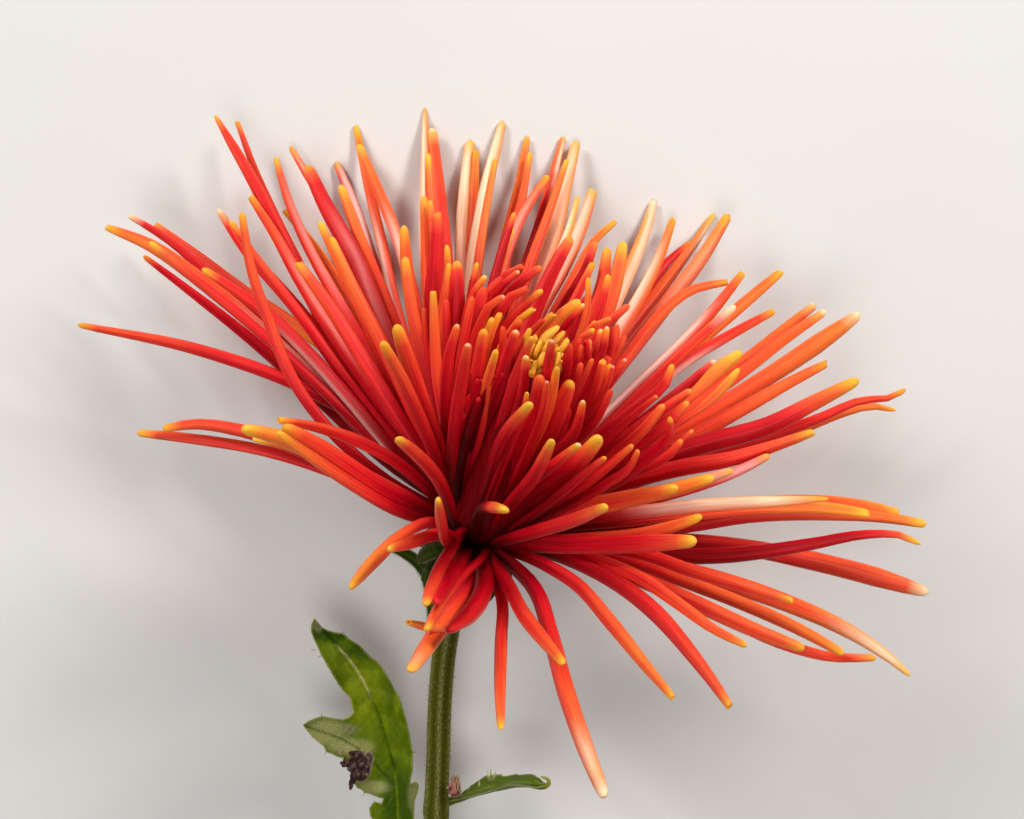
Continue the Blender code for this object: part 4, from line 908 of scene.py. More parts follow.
def height_at(px, py, along_axis):
    """Return the height over the head root of the pixel's point at a place along the head axis."""
    height = HEIGHT_GUESS
    for _ in range(HEIGHT_TRIES):
        offset = row_point(px, py, height) - HEAD_ROOT
        level = offset.x * HEAD_AXIS.x + offset.y * HEAD_AXIS.y
        height = (along_axis - level) / HEAD_AXIS.z
    return height


def head_point(angle, radius, along):
    """Return a point given by its angle and radius round the head axis and its place along it."""
    side = UP.cross(HEAD_AXIS).normalized()
    over = HEAD_AXIS.cross(side).normalized()
    across = side * math.cos(angle) + over * math.sin(angle)
    return HEAD_ROOT + across * radius + HEAD_AXIS * along


def axis_parts(point):
    """Return a point's place along the head axis and its offset across it."""
    offset = point - HEAD_ROOT
    along = offset.dot(HEAD_AXIS)
    return along, offset - HEAD_AXIS * along


def floret_points(row, standing):
    """Return the floret's line from its root in the core to its tip."""
    pixels = [(row[i], row[i + 1]) for i in range(2, len(row), 2)][::-1]
    tip_height = height_at(*pixels[-1], row[0]) if standing else float(row[0])
    lengths = [0.0]
    last = ROOT_PX
    for pixel in pixels:
        lengths.append(lengths[-1] + math.dist(last, pixel))
        last = pixel
    points = []
    for pixel, length in zip(pixels, lengths[1:]):
        points.append(row_point(*pixel, tip_height * length / lengths[-1]))
    along, across = axis_parts(points[0])
    rooted = min(max(along * ROOT_RISE, ROOT_HEIGHT_LOW), ROOT_HEIGHT_HIGH)
    root = HEAD_ROOT + across.normalized() * ROOT_RADIUS + HEAD_AXIS * rooted
    return [root] + points


def keep_in_place(point, width, lift):
    """Keep a floret's point above the surface and clear of the yellow centre."""
    along, across = axis_parts(point)
    clear = EYE_RADIUS + EYE_CLEARANCE + width * EYE_WIDTH_SHARE
    clear *= eased((along - EYE_GUARD_START) / EYE_GUARD_RISE)
    if across.length < clear:
        point = HEAD_ROOT + HEAD_AXIS * along + across.normalized() * clear
    point.z = max(point.z, lift + FLOOR_GAP)
    return point


def smooth_line(points, steps):
    """Return points of a smooth line through the given ones, at parts of its length."""
    knots = np.array([tuple(point) for point in points])
    spans = np.linalg.norm(np.diff(knots, axis=0), axis=1)
    places = np.concatenate(([0.0], np.cumsum(spans)))
    slopes = np.gradient(knots, places, axis=0)
    line = []
    for step in steps:
        at = step * places[-1]
        i = min(int(np.searchsorted(places, at, side="right")) - 1, len(spans) - 1)
        span = spans[i]
        t = (at - places[i]) / span
        start = knots[i] * (2 * t ** 3 - 3 * t ** 2 + 1) + slopes[i] * span * (t ** 3 - 2 * t ** 2 + t)
        end = knots[i + 1] * (3 * t ** 2 - 2 * t ** 3) + slopes[i + 1] * span * (t ** 3 - t ** 2)
        line.append(Vector(start + end))
    return line


def even_line(points, count):
    """Return points evenly along a smooth line through the given ones."""
    return smooth_line(points, [k / (count - 1) for k in range(count)])


def line_length(points):
    """Return the length of a line of points."""
    return sum((b - a).length for a, b in zip(points, points[1:]))


def line_direction(line, i):
    """Return the line's direction at one of its points."""
    return (line[min(i + 1, len(line) - 1)] - line[max(i - 1, 0)]).normalized()


def profile_at(profile, place):
    """Return the profile's value at a place along it."""
    return float(np.interp(place, [row[0] for row in profile], [row[1] for row in profile]))


def eased(value):
    """Return a value from 0 to 1 with soft ends."""
    value = min(max(value, 0.0), 1.0)
    return value * value * (3.0 - 2.0 * value)


class Shape:
    """Points in mm, faces, and a value of each kind for every point."""

    def __init__(self):
        self.points = []
        self.faces = []
        self.values = {}

    def add(self, points, faces, columns):
        """Add points with their values, and faces that count from the first of the points."""
        first = len(self.points)
        self.points.extend(points)
        self.faces.extend([first + i for i in face] for face in faces)
        for name, column in columns.items():
            self.values.setdefault(name, []).extend(column)

    def add_tube(self, rings, ends, sides, columns):
        """Add a closed tube with its two end points, which have the first and the last values."""
        for column in columns.values():
            column += [column[0], column[-1]]
        self.add(rings + ends, tube_faces(len(rings) // sides, sides), columns)


def put(columns, **values):
    """Add a point's values to their columns."""
    for name, value in values.items():
        columns.setdefault(name, []).append(value)


def tube_faces(rings, sides):
    """Return the faces of a closed tube: its rings, then its start point and its end point."""
    faces = []
    for i in range(rings - 1):
        for k in range(sides):
            low = i * sides
            high = low + sides
            after = (k + 1) % sides
            faces.append((low + k, low + after, high + after, high + k))
    start = rings * sides
    last = start - sides
    for k in range(sides):
        after = (k + 1) % sides
        faces.append((after, k, start))
        faces.append((last + k, last + after, start + 1))
    return faces


def make_piece(name, shape, material, slot, *nodes):
    """Turn a shape into a piece that rides on the frame."""
    mesh = bpy.data.meshes.new(name)
    points = [Vector((x, y, max(z, LOWEST_POINT))) * MM for x, y, z in shape.points]
    mesh.from_pydata(points, [], shape.faces)
    for key, column in shape.values.items():
        kind, field = ("FLOAT_VECTOR", "vector") if key == "grain" else ("FLOAT", "value")
        attribute = mesh.attributes.new(key, kind, "POINT")
        attribute.data.foreach_set(field, np.array(column, dtype=float).ravel())
    mesh.shade_smooth()
    mesh.materials.append(material)
    piece = bpy.data.objects.new(name, mesh)
    bpy.context.scene.collection.objects.link(piece)
    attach(piece, "root")
    if nodes:
        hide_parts(*nodes)


# Ray florets


def tube_steps(length, tip_length, open_tip):
    """Return the places of a floret's rings, each with the turn of its rounded tip."""
    count = max(FEWEST_RINGS, round(length / SEGMENT))
    last = 1.0 - tip_length / length
    most = OPEN_TIP_TURN if open_tip else CLOSED_TIP_TURN
    steps = [(last * k / count, 0.0) for k in range(count)]
    for k in range(TIP_RINGS + 1):
        turn = math.radians(most * k / TIP_RINGS)
        steps.append((last + (1.0 - last) * math.sin(turn), turn))
    return steps


def moved_across(across, direction):
    """Return a unit vector across a direction, close to the last one."""
    return (across - direction * across.dot(direction)).normalized()


def first_across(direction):
    """Return the direction in which a floret is broad at its root: its face is turned upward."""
    across = direction.cross(UP)
    if across.length < STEEP_LIMIT:
        across = direction.cross(RIGHTWARD)
    return across.normalized()


def ring_section(angle, build, place, fade):
    """Return how far a floret's ring reaches at an angle, and how deep it is in the groove."""
    groove_at = build["groove_at"] + build["twist"] * place
    away = (angle - groove_at + math.pi) % math.tau - math.pi
    groove = math.exp(-(away / GROOVE_WIDTH) ** 2)
    reach = 1.0 + RIB_HEIGHT * math.cos(RIBS * angle + build["ribs_at"]) - GROOVE_DEPTH * groove
    return 1.0 + (reach - 1.0) * fade, groove * fade


def tip_edge(angle, look, build):
    """Return how far an open tip's edge reaches forward at an angle."""
    slant = TIP_SLANT * math.cos(angle - build["slant_at"])
    return slant + TEETH_HEIGHT * math.cos(look["teeth"] * angle + build["ribs_at"])


def floret_style(tip, usual):
    """Return the style of the floret with a tip's pixel."""
    for style, tips in STYLE_OF.items():
        if tip in tips:
            return style
    return usual


def floret_look(tip, warmth, usual, draw):
    """Return the colours and the tip of one floret by its tip's pixel."""
    style = floret_style(tip, usual)
    blush, tip_blush, tip_length = STYLES[style]
    if style == "standing":
        tip_blush = draw.choice(STANDING_TIPS)
    if tip in YELLOW_TIPS:
        tip_blush = BRIGHT_TIP
        tip_length = BRIGHT_LENGTH
    may_open = tip not in CLOSED_TIPS and style != "inner"
    glint = GLINT_LENGTH if style == "standing" and draw.random() < GLINT_SHARE else 0.0
    return {
        "blush": blush,
        "warmth": warmth + draw.gauss(0.0, WARMTH_SPREAD),
        "tip_length": tip_length * draw.uniform(*TIP_LENGTH_SPREAD),
        "tip_blush": tip_blush + draw.uniform(*TIP_BLUSH_SPREAD),
        "glow": GLOW_REACH * tip_length if tip in YELLOW_TIPS else 0.0,
        # The darkened base is painted shade
        "shaded_base": SHADED_BASES.get(tip, 0.0),
        # The pale band is a painted highlight
        "pale": PALE_HIGHLIGHT_FLORETS.get(tip, NO_HIGHLIGHT),
        # The white end is a painted glint
        "glint_end": WHITE_GLINT_ENDS.get(tip, glint),
        "white": WHITE_GLINT_STRENGTH if tip in WHITE_GLINT_ENDS else GLINT_STRENGTH,
        "seed": draw.uniform(0.0, GREATEST_SEED),
        "open": tip in FORKED_TIPS or (draw.random() < OPEN_SHARE and may_open),
        "teeth": FORK_TEETH if tip in FORKED_TIPS else OPEN_TEETH,
    }


def floret_colours(look, place, from_tip, groove, angle):
    """Return the blush of a floret's point, painted light and shade included, and its paleness, a painted
    highlight.
    """
    across = math.cos(angle)
    # How much the point faces upward, where the painted highlight lies
    above = eased(HIGHLIGHT_ABOVE - HIGHLIGHT_ABOVE_RISE * math.sin(angle))
    blush = profile_at(look["blush"], place) + look["warmth"] * eased(place * WARMTH_RISE)
    # Lighter margins are painted light and the darker groove is painted shade
    blush += LIT_MARGIN_BLUSH * across * across - GROOVE_SHADE_BLUSH * groove
    # The darkened base is painted shade
    if look["shaded_base"]:
        blush *= eased((place - look["shaded_base"]) / SHADED_BASE_EDGE)
    if look["glow"]:
        orange = max(0.0, look["tip_blush"] - GLOW_DROP - blush)
        blush += orange * eased(1.0 - from_tip / look["glow"])
    yellow = eased(1.0 - from_tip / look["tip_length"])
    blush += (look["tip_blush"] - blush) * yellow
    # The pale band is a painted highlight, partly a paler reverse
    at, width, strength, start, end = look["pale"]
    window = eased((place - start) / HIGHLIGHT_EDGE) * eased((end - place) / HIGHLIGHT_EDGE)
    band = math.exp(-((across - at) / width) ** 2)
    pale = strength * window * band * above * (1.0 - HIGHLIGHT_LOSS * yellow)
    blush += HIGHLIGHT_WARMTH * pale
    # The white end is a painted glint on the upper side
    if look["glint_end"]:
        pale = max(pale, look["white"] * eased(WHITE_GLINT_SOFTNESS - from_tip / look["glint_end"]) * above)
    return blush, pale


def floret_build(width, draw):
    """Return the form of one floret, which differs a little from the others."""
    return {
        "width": width,
        "narrowing": draw.uniform(*NARROWING),
        "ribs_at": draw.uniform(0.0, math.tau),
        "groove_at": -0.5 * math.pi + draw.uniform(-GROOVE_TURN, GROOVE_TURN),
        "twist": draw.uniform(-MOST_TWIST, MOST_TWIST),
        "slant_at": draw.uniform(0.0, math.tau),
    }


def floret_middle(points, steps, profile, build, guarded):
    """Return a floret's middle line and half its width at each ring."""
    line = []
    halves = []
    for centre, (place, turn) in zip(smooth_line(points, [step[0] for step in steps]), steps):
        half = 0.5 * build["width"] * profile_at(profile, place) * math.cos(turn)
        narrowed = eased((place - NARROWING_FROM) / (1.0 - NARROWING_FROM))
        half *= 1.0 + (build["narrowing"] - 1.0) * narrowed
        halves.append(half)
        line.append(keep_in_place(centre, build["width"], half) if guarded else centre)
    return line, halves


def floret_rings(count, is_open):
    """Return a floret's rings: number, narrowness, depth and painted shade. An open tip turns inward."""
    rings = [(i, 1.0, 0.0, 0.0) for i in range(count)]
    if is_open:
        rings += [(count - 1, *ring) for ring in INNER_RINGS]
    return rings


def add_floret(shape, points, width, profile, look, draw, guarded=True):
    """Add one quilled floret to a shape, clear of the centre if it is guarded."""
    heading = (points[-1] - points[-2]).normalized()
    points = points[:-1] + [points[-1] + heading * width * TIP_OVERHANG]
    length = line_length(points)
    steps = tube_steps(length, min(TIP_OF_WIDTH * width, TIP_OF_LENGTH * length), look["open"])
    build = floret_build(width, draw)
    line, halves = floret_middle(points, steps, profile, build, guarded)
    across = first_across(line_direction(line, 0))
    columns = {}
    rings = []
    for i, narrow, depth, shade in floret_rings(len(steps), look["open"]):
        place = steps[i][0]
        from_tip = (1.0 - place) * length
        fade = 1.0 if look["open"] else min(1.0, from_tip / RIB_FADE)
        direction = line_direction(line, i)
        across = moved_across(across, direction)
        over = direction.cross(across)
        for k in range(SIDES):
            angle = math.tau * k / SIDES
            reach, groove = ring_section(angle, build, place, fade)
            outward = across * math.cos(angle) + over * (math.sin(angle) * FLORET_THICKNESS)
            point = line[i] + outward * (halves[i] * reach)
            if look["open"] and i == len(steps) - 1:
                point += direction * (halves[i] * tip_edge(angle, look, build))
            rings.append(line[i].lerp(point, narrow) - direction * (depth * width))
            blush, pale = floret_colours(look, place, from_tip, groove, angle)
            grain = (angle * width * 0.5, place * length, look["seed"])
            # The rings inside an open tip are darkened as painted shade
            put(columns, blush=blush - shade, pale=pale, grain=grain)
    sunk = width * (OPEN_END_DEPTH if look["open"] else CLOSED_END_DEPTH)
    end = line[-1] - line_direction(line, len(line) - 1) * sunk
    shape.add_tube(rings, [line[0], end], SIDES, columns)


def add_row_floret(shape, row, standing, warmth, style, form, draw):
    """Add the floret of a table's row, in which the first pixel is its tip."""
    tip = (row[2], row[3])
    look = floret_look(tip, warmth, style, draw)
    add_floret(shape, floret_points(row, standing), row[1], FORM_OF.get(tip, form), look, draw)


def make_long_florets(material):
    """Build the long red florets, a piece for each side of the head."""
    draw = random.Random(FLORET_SEED)
    for name, rows, warmth in LONG_REGIONS:
        shape = Shape()
        for row in rows:
            add_row_floret(shape, row, False, warmth, "coral", WIDTH_ALONG, draw)
        if rows is UPPER_RIGHT:
            for row in SPOONS:
                add_row_floret(shape, row, False, warmth, "spoon", SPOON_ALONG, draw)
        make_piece(name, shape, material, "ray_florets", "ray_florets")


def make_standing_florets(material):
    """Build the shorter florets that stand round the centre."""
    draw = random.Random(FLORET_SEED + 1)
    shape = Shape()
    for row in STANDING:
        add_row_floret(shape, row, True, 0.0, "standing", WIDTH_ALONG, draw)
    make_piece("florets_standing", shape, material, "ray_florets", "ray_florets")


def inner_floret_points(k, behind, draw):
    """Return the line of one of the short inner florets."""
    part = (k + 0.5) / INNER_FLORETS
    reach = (INNER_REACH + INNER_REACH_BEHIND * behind) * math.sqrt(part)
    radius = INNER_RADIUS + reach + draw.uniform(-INNER_RADIUS_SPREAD, INNER_RADIUS_SPREAD)
    fall = (INNER_FALL + INNER_FALL_BEHIND * behind) * part
    top = INNER_TOP - fall + draw.uniform(-INNER_TOP_SPREAD, INNER_TOP_SPREAD)
    return [head_point(k * GOLDEN_ANGLE, out + share * radius, low + part_of_top * top)
            for out, share, low, part_of_top in INNER_PATH]


def make_inner_florets(material):
    """Build the short florets deep in the upper side of the head, by the golden angle."""
    draw = random.Random(FLORET_SEED + 2)
    shape = Shape()
    for k in range(INNER_FLORETS):
        behind = eased(0.5 + INNER_TURN * (head_point(k * GOLDEN_ANGLE, 1.0, 0.0) - HEAD_ROOT).y)
        if behind < INNER_BEHIND:
            continue
        points = inner_floret_points(k, behind, draw)
        # These florets are darkened as painted shade
        look = floret_look((0, 0), INNER_SHADE_WARMTH, "inner", draw)
        add_floret(shape, points, draw.uniform(*INNER_WIDTHS), WIDTH_ALONG, look, draw)
    make_piece("florets_inner", shape, material, "ray_florets", "ray_florets")


def add_lathe(shape, profile, sides, lumps, draw, **values):
    """Add a closed body turned round the head axis, with small lumps."""
    points = []
    for radius, along in profile:
        for k in range(sides):
            bumpy = radius * (1.0 + draw.uniform(-lumps, lumps))
            points.append(head_point(math.tau * k / sides, bumpy, along))
    points += [head_point(0.0, 0.0, profile[0][1]), head_point(0.0, 0.0, profile[-1][1])]
    columns = {name: [value] * len(points) for name, value in values.items()}
    columns["grain"] = [tuple(point) for point in points]
    shape.add(points, tube_faces(len(profile), sides), columns)


def make_core(material):
    """Build the receptacle that every floret grows from, dark as painted shade."""
    draw = random.Random(FLORET_SEED + 3)
    shape = Shape()
    add_lathe(shape, CORE_PROFILE, CORE_SIDES, CORE_LUMPS, draw, blush=CORE_SHADE_BLUSH, pale=0.0)
    make_piece("receptacle", shape, material, "ray_florets", "ray_florets")


# Yellow centre


def disc_look(draw):
    """Return the colours and the tip of one floret of the centre."""
    return {
        "blush": EYE_BLUSH,
        "warmth": draw.gauss(0.0, EYE_WARMTH_SPREAD),
        "tip_length": EYE_TIP_LENGTH,
        "tip_blush": draw.uniform(*EYE_TIPS),
        "glow": 0.0,
        "shaded_base": 0.0,
        "pale": NO_HIGHLIGHT,
        "glint_end": 0.0,
        "seed": draw.uniform(0.0, GREATEST_SEED),
        "open": draw.random() < EYE_OPEN_SHARE,
        "teeth": EYE_TEETH,
    }


def young_floret_points(k, draw):
    """Return the line of one of the even young florets of the centre."""
    part = (k + EYE_FIRST) / EYE_FLORETS
    radius = (EYE_RADIUS - EYE_MARGIN) * math.sqrt(part)
    angle = k * GOLDEN_ANGLE
    top = EYE_FLOOR + EYE_TOP - EYE_TOP_FALL * part + draw.uniform(-EYE_TOP_SPREAD, EYE_TOP_SPREAD)
    tip_angle = angle + draw.uniform(-EYE_TURN, EYE_TURN)
    return [head_point(angle, radius * EYE_FOOT_RADIUS, EYE_FLOOR + EYE_ROOT),
            head_point(angle, radius * EYE_MIDDLE_RADIUS, 0.5 * (top + EYE_FLOOR + EYE_ROOT)),
            head_point(tip_angle, radius + EYE_LEAN * part, top)]


def make_disc_florets(material):
    """Build the young yellow florets of the centre on their small dome."""
    draw = random.Random(EYE_SEED)
    shape = Shape()
    add_lathe(shape, EYE_PROFILE, EYE_SIDES, EYE_LUMPS, draw, blush=EYE_DOME_BLUSH, pale=0.0)
    for k in range(EYE_FLORETS):
        points = young_floret_points(k, draw)
        width = draw.uniform(*EYE_WIDTHS)
        add_floret(shape, points, width, EYE_WIDTH_ALONG, disc_look(draw), draw, False)
    for along, width, tip_x, tip_y, foot_x, foot_y in EYE_LONG:
        points = [HEAD_ROOT + HEAD_AXIS * (EYE_FLOOR + EYE_LONG_ROOT)]
        for px, py, fall in zip((foot_x, tip_x), (foot_y, tip_y), EYE_LONG_FALLS):
            points.append(row_point(px, py, height_at(px, py, along - fall)))
        add_floret(shape, points, width, EYE_WIDTH_ALONG, disc_look(draw), draw, False)
    make_piece("florets_disc", shape, material, "disc_florets", "disc_florets")


# Green parts


def add_leaf_strip(shape, line, halves, face, form, seed):
    """Add a thin closed blade along a line, with half its width at each point."""
    count = form.columns
    length = line_length(line)
    rings = []
    columns = {}
    for i, (centre, half) in enumerate(zip(line, halves)):
        direction = line_direction(line, i)
        across = face.cross(direction).normalized()
        up = direction.cross(across)
        place = i / (len(line) - 1)
        brown = form.brown * eased((place - form.brown_from) / BROWN_EDGE)
        along = place * length
        for k in range(2 * count):
            side = 1.0 - 2.0 * k / count if k <= count else 2.0 * (k - count) / count - 1.0
            upper = 0 < k < count
            vein = math.exp(-(side / BLADE_VEIN) ** 2)
            wave = form.wave * half * side * math.sin(BLADE_WAVES * place + seed)
            thick = 0.5 * form.thickness * math.sqrt(max(0.0, 1.0 - side * side))
            skin = thick * (1.0 + (BLADE_VEIN_SUNK if upper else BLADE_VEIN_RAISED) * vein)
            lift = form.cup * half * side * side + wave + (skin if upper else -skin)
            rings.append(centre + across * (half * side) + up * lift)
            put(columns, tone=form.tone + BLADE_VEIN_TONE * vein + form.tip * place,
                margin=eased((abs(side) - form.margin) / (1.0 - form.margin)),
                brown=brown, grain=(half * side, along, seed))
    shape.add_tube(rings, [line[0], line[-1]], 2 * count, columns)


def strip_halves(widths, count, teeth=0.0, bite=0.0):
    """Return half a blade's width at points along it, with teeth along its edges."""
    halves = []
    for i in range(count):
        place = i / (count - 1)
        half = 0.5 * float(np.interp(place * (len(widths) - 1), range(len(widths)), widths))
        tooth = (place * teeth) % 1.0
        halves.append(half * (1.0 + bite * (tooth ** TOOTH_POWER - TOOTH_MIDDLE)))
    return halves


def add_blade(shape, points, widths, count, face, form, seed, teeth=(0.0, 0.0)):
    """Add a blade along points, and return its line and half its width along it."""
    line = even_line(points, count)
    halves = strip_halves(widths, count, *teeth)
    add_leaf_strip(shape, line, halves, face, form, seed)
    return line, halves


def make_involucre(material):
    """Build the green cup with its rows of small bracts."""
    draw = random.Random(BRACT_SEED)
    shape = Shape()
    add_lathe(shape, CUP_PROFILE, CUP_SIDES, CUP_LUMPS, draw, tone=CUP_TONE, margin=0.0, brown=0.0)
    widest = BRACT_ROWS[0][2][-1][0]
    for number, start, rows_at in BRACT_ROWS:
        width = BRACT_WIDTH * (BRACT_LEAST_WIDTH + (1.0 - BRACT_LEAST_WIDTH) * rows_at[-1][0] / widest)
        widths = [width * part for part in BRACT_FORM]
        for k in range(number):
            angle = math.tau * (k + start) / number + draw.uniform(-BRACT_TURN, BRACT_TURN)
            stretch = draw.uniform(*BRACT_STRETCHES)
            points = [head_point(angle, reach * stretch, along + draw.uniform(-BRACT_LIFT, BRACT_LIFT))
                      for reach, along in rows_at]
            seed = draw.uniform(0.0, MOST_BLADE_SEED)
            add_blade(shape, points, widths, BRACT_POINTS, HEAD_AXIS, BRACT_BLADE, seed)
    make_piece("involucre_bracts", shape, material, "involucre", "involucre")


def stem_line():
    """Return points down the middle of the stem, from the head to the cut end."""
    return even_line([HEAD_ROOT + HEAD_AXIS * STEM_TOP] + row_points(STEM_PATH), STEM_ROWS)


def stem_frame(line, i):
    """Return the stem's direction and two directions across it at a point."""
    direction = -HEAD_AXIS if i == 0 else line_direction(line, i)
    across = moved_across(RIGHTWARD, direction)
    return direction, across, direction.cross(across).normalized()


def stem_ridge(angle, place):
    """Return how much of a ridge the stem has at an angle."""
    turned = angle + STEM_TWIST * place
    return 0.5 + 0.5 * math.cos(STEM_RIBS * (turned - 0.5 * math.pi))


def stem_radius(ridge):
    """Return the stem's radius where it has a part of a ridge."""
    return STEM_RADIUS + STEM_RIB_DEPTH * (2.0 * ridge ** STEM_RIB_POWER - 1.0)


def add_cut_end(rings, columns, end, direction, length):
    """Add the rings of the stem's cut end."""
    edge = rings[-STEM_SIDES:]
    for narrow, back, brown in CUT_RINGS:
        margin = 1.0 - CUT_BARK_MARGIN * eased((narrow - CUT_BARK) / CUT_BARK_EDGE)
        for k, point in enumerate(edge):
            rings.append(end.lerp(point, narrow) - direction * back)
            grain = (k * CUT_GRAIN[0], length + narrow, CUT_GRAIN[1])
            put(columns, tone=CUT_TONE, margin=margin, brown=brown, grain=grain)


def make_stem(material):
    """Build the ridged stem with its cut end."""
    draw = random.Random(STEM_SEED)
    shape = Shape()
    line = stem_line()
    length = line_length(line)
    rings = []
    columns = {}
    for i, centre in enumerate(line):
        place = i / (STEM_ROWS - 1)
        direction, across, over = stem_frame(line, i)
        node = math.exp(-((place - STEM_NODE) / STEM_NODE_LENGTH) ** 2)
        low = eased((place - STEM_NODE) * STEM_LOW_RISE)
        for k in range(STEM_SIDES):
            angle = math.tau * k / STEM_SIDES
            ridge = stem_ridge(angle, place)
            radius = stem_radius(ridge) + STEM_NODE_SWELL * node
            radius += draw.uniform(-STEM_LUMPS, STEM_LUMPS)
            rings.append(centre + across * (math.cos(angle) * radius) + over * (math.sin(angle) * radius))
            put(columns, tone=STEM_TONE + STEM_RIDGE_TONE * ridge, margin=STEM_RIDGE_PALE * ridge ** 3,
                brown=STEM_NODE_BROWN * node + STEM_LOW_BROWN * low * ridge ** 3,
                grain=(angle * STEM_RADIUS, place * length, 0.0))
    add_cut_end(rings, columns, line[-1], direction, length)
    ends = [line[0], line[-1] - direction * CUT_RINGS[-1][1]]
    shape.add_tube(rings, ends, STEM_SIDES, columns)
    make_piece("stem_ribbed", shape, material, "stem", "stem")


def add_hair(shape, base, heading, length, draw, radius=HAIR_RADIUS):
    """Add one fine hair as a slim closed spike with three sides."""
    side = heading.orthogonal().normalized() * radius
    other = heading.cross(side)
    points = [base + side, base - side * 0.5 + other * TRIANGLE_HEIGHT,
              base - side * 0.5 - other * TRIANGLE_HEIGHT]
    points.append(base + (heading * length + UP * draw.uniform(*HAIR_BENDS) * length))
    shade = draw.uniform(*HAIR_SHADES)
    columns = {"tone": [shade] * 4, "margin": [1.0] * 4, "brown": [0.0] * 4, "grain": [tuple(base)] * 4}
    shape.add(points, [(0, 1, 3), (1, 2, 3), (2, 0, 3), (2, 1, 0)], columns)


def make_stem_hairs(material):
    """Build the short pale hairs on the stem's ridges."""
    draw = random.Random(HAIR_SEED)
    shape = Shape()
    line = stem_line()
    for _ in range(STEM_HAIRS):
        i = draw.randrange(2, STEM_ROWS - 1)
        angle = draw.uniform(0.0, math.tau)
        ridge = stem_ridge(angle, i / (STEM_ROWS - 1))
        if draw.random() > HAIRS_OFF_RIDGE + (1.0 - HAIRS_OFF_RIDGE) * ridge ** 2:
            continue
        direction, across, over = stem_frame(line, i)
        outward = across * math.cos(angle) + over * math.sin(angle)
        shift = direction * draw.uniform(-HAIR_SHIFT, HAIR_SHIFT)
        base = line[i] + outward * (stem_radius(ridge) - HAIR_SUNK) + shift
        lean = direction * draw.uniform(*HAIR_LEANS)
        lean = lean + outward.cross(direction) * draw.uniform(-HAIR_SWING, HAIR_SWING)
        heading = (outward * HAIR_RISE + lean).normalized()
        add_hair(shape, base, heading, draw.uniform(*HAIR_LENGTHS), draw)
    make_piece("stem_hairs", shape, material, "stem")


def eased_all(values):
    """Return values from 0 to 1 with soft ends."""
    values = np.clip(values, 0.0, 1.0)
    return values * values * (3.0 - 2.0 * values)


def patches_at(px, py, patches):
    """Return how strongly soft oval patches cover pixels."""
    best = np.zeros(np.shape(px))
    for x, y, wide, high, strength in patches:
        away = np.hypot((px - x) / wide, (py - y) / high)
        best = np.maximum(best, strength * eased_all(PATCH_SOFTNESS - away))
    return best


def distances(px, py, line):
    """Return the distances in pixels from points to a line of pixels."""
    best = np.full(np.shape(px), np.inf)
    for (x0, y0), (x1, y1) in zip(line, line[1:]):
        run = (x1 - x0, y1 - y0)
        part = ((px - x0) * run[0] + (py - y0) * run[1]) / (run[0] ** 2 + run[1] ** 2)
        part = np.clip(part, 0.0, 1.0)
        best = np.minimum(best, np.hypot(px - x0 - run[0] * part, py - y0 - run[1] * part))
    return best


def inside_outline(px, py, outline):
    """Return which points lie inside an outline."""
    inside = np.zeros(np.shape(px), dtype=bool)
    for (x0, y0), (x1, y1) in zip(outline, outline[1:] + outline[:1]):
        if y0 != y1:
            crosses = (y0 > py) != (y1 > py)
            inside ^= crosses & (px < x0 + (py - y0) * (x1 - x0) / (y1 - y0))
    return inside


def dense_outline(corners, step):
    """Return an outline with points added along its sides."""
    dense = []
    for (x0, y0), (x1, y1) in zip(corners, corners[1:] + corners[:1]):
        count = max(1, round(math.hypot(x1 - x0, y1 - y0) / step))
        for k in range(count):
            dense.append((x0 + (x1 - x0) * k / count, y0 + (y1 - y0) * k / count))
    return dense


def leaf_places(outline):
    """Return an outline's points, then a ring just inside them and a scatter of points further in."""
    draw = np.random.default_rng(LEAF_SEED)
    corners = np.array(outline)
    run = np.roll(corners, -1, axis=0) - np.roll(corners, 1, axis=0)
    run = run / np.linalg.norm(run, axis=1)[:, None]
    across = np.stack((-run[:, 1], run[:, 0]), axis=1)
    grid = np.meshgrid(np.arange(*LEAF_COLUMNS_PX, LEAF_GRID), np.arange(*LEAF_ROWS_PX, LEAF_GRID))
    scatter = np.stack((grid[0].ravel(), grid[1].ravel()), axis=1)
    scatter = scatter + draw.uniform(-LEAF_SCATTER, LEAF_SCATTER, scatter.shape)
    groups = ((corners + LEAF_RIM * across, LEAF_RIM_LEAST), (corners - LEAF_RIM * across, LEAF_RIM_LEAST),
              (scatter, LEAF_SCATTER_LEAST * LEAF_RIM))
    places = list(outline)
    for group, least in groups:
        px, py = group.T
        good = inside_outline(px, py, outline) & (distances(px, py, outline + outline[:1]) > least)
        places += [tuple(point) for point in group[good]]
    return places


def near(distance, reach):
    """Return 1 on a line, and less the further away from it."""
    return np.exp(-(distance / reach) ** 2)


def side_vein_distances(px, py):
    """Return the distances in pixels from points to the nearest of the left leaf's side veins."""
    return np.min([distances(px, py, vein) for vein in LEAF_SIDE_VEINS], axis=0)


def ripple(px, py, run):
    """Return even ripples, from minus 1 to 1, that run to the right and down."""
    return np.sin(px * run[0] + py * run[1])


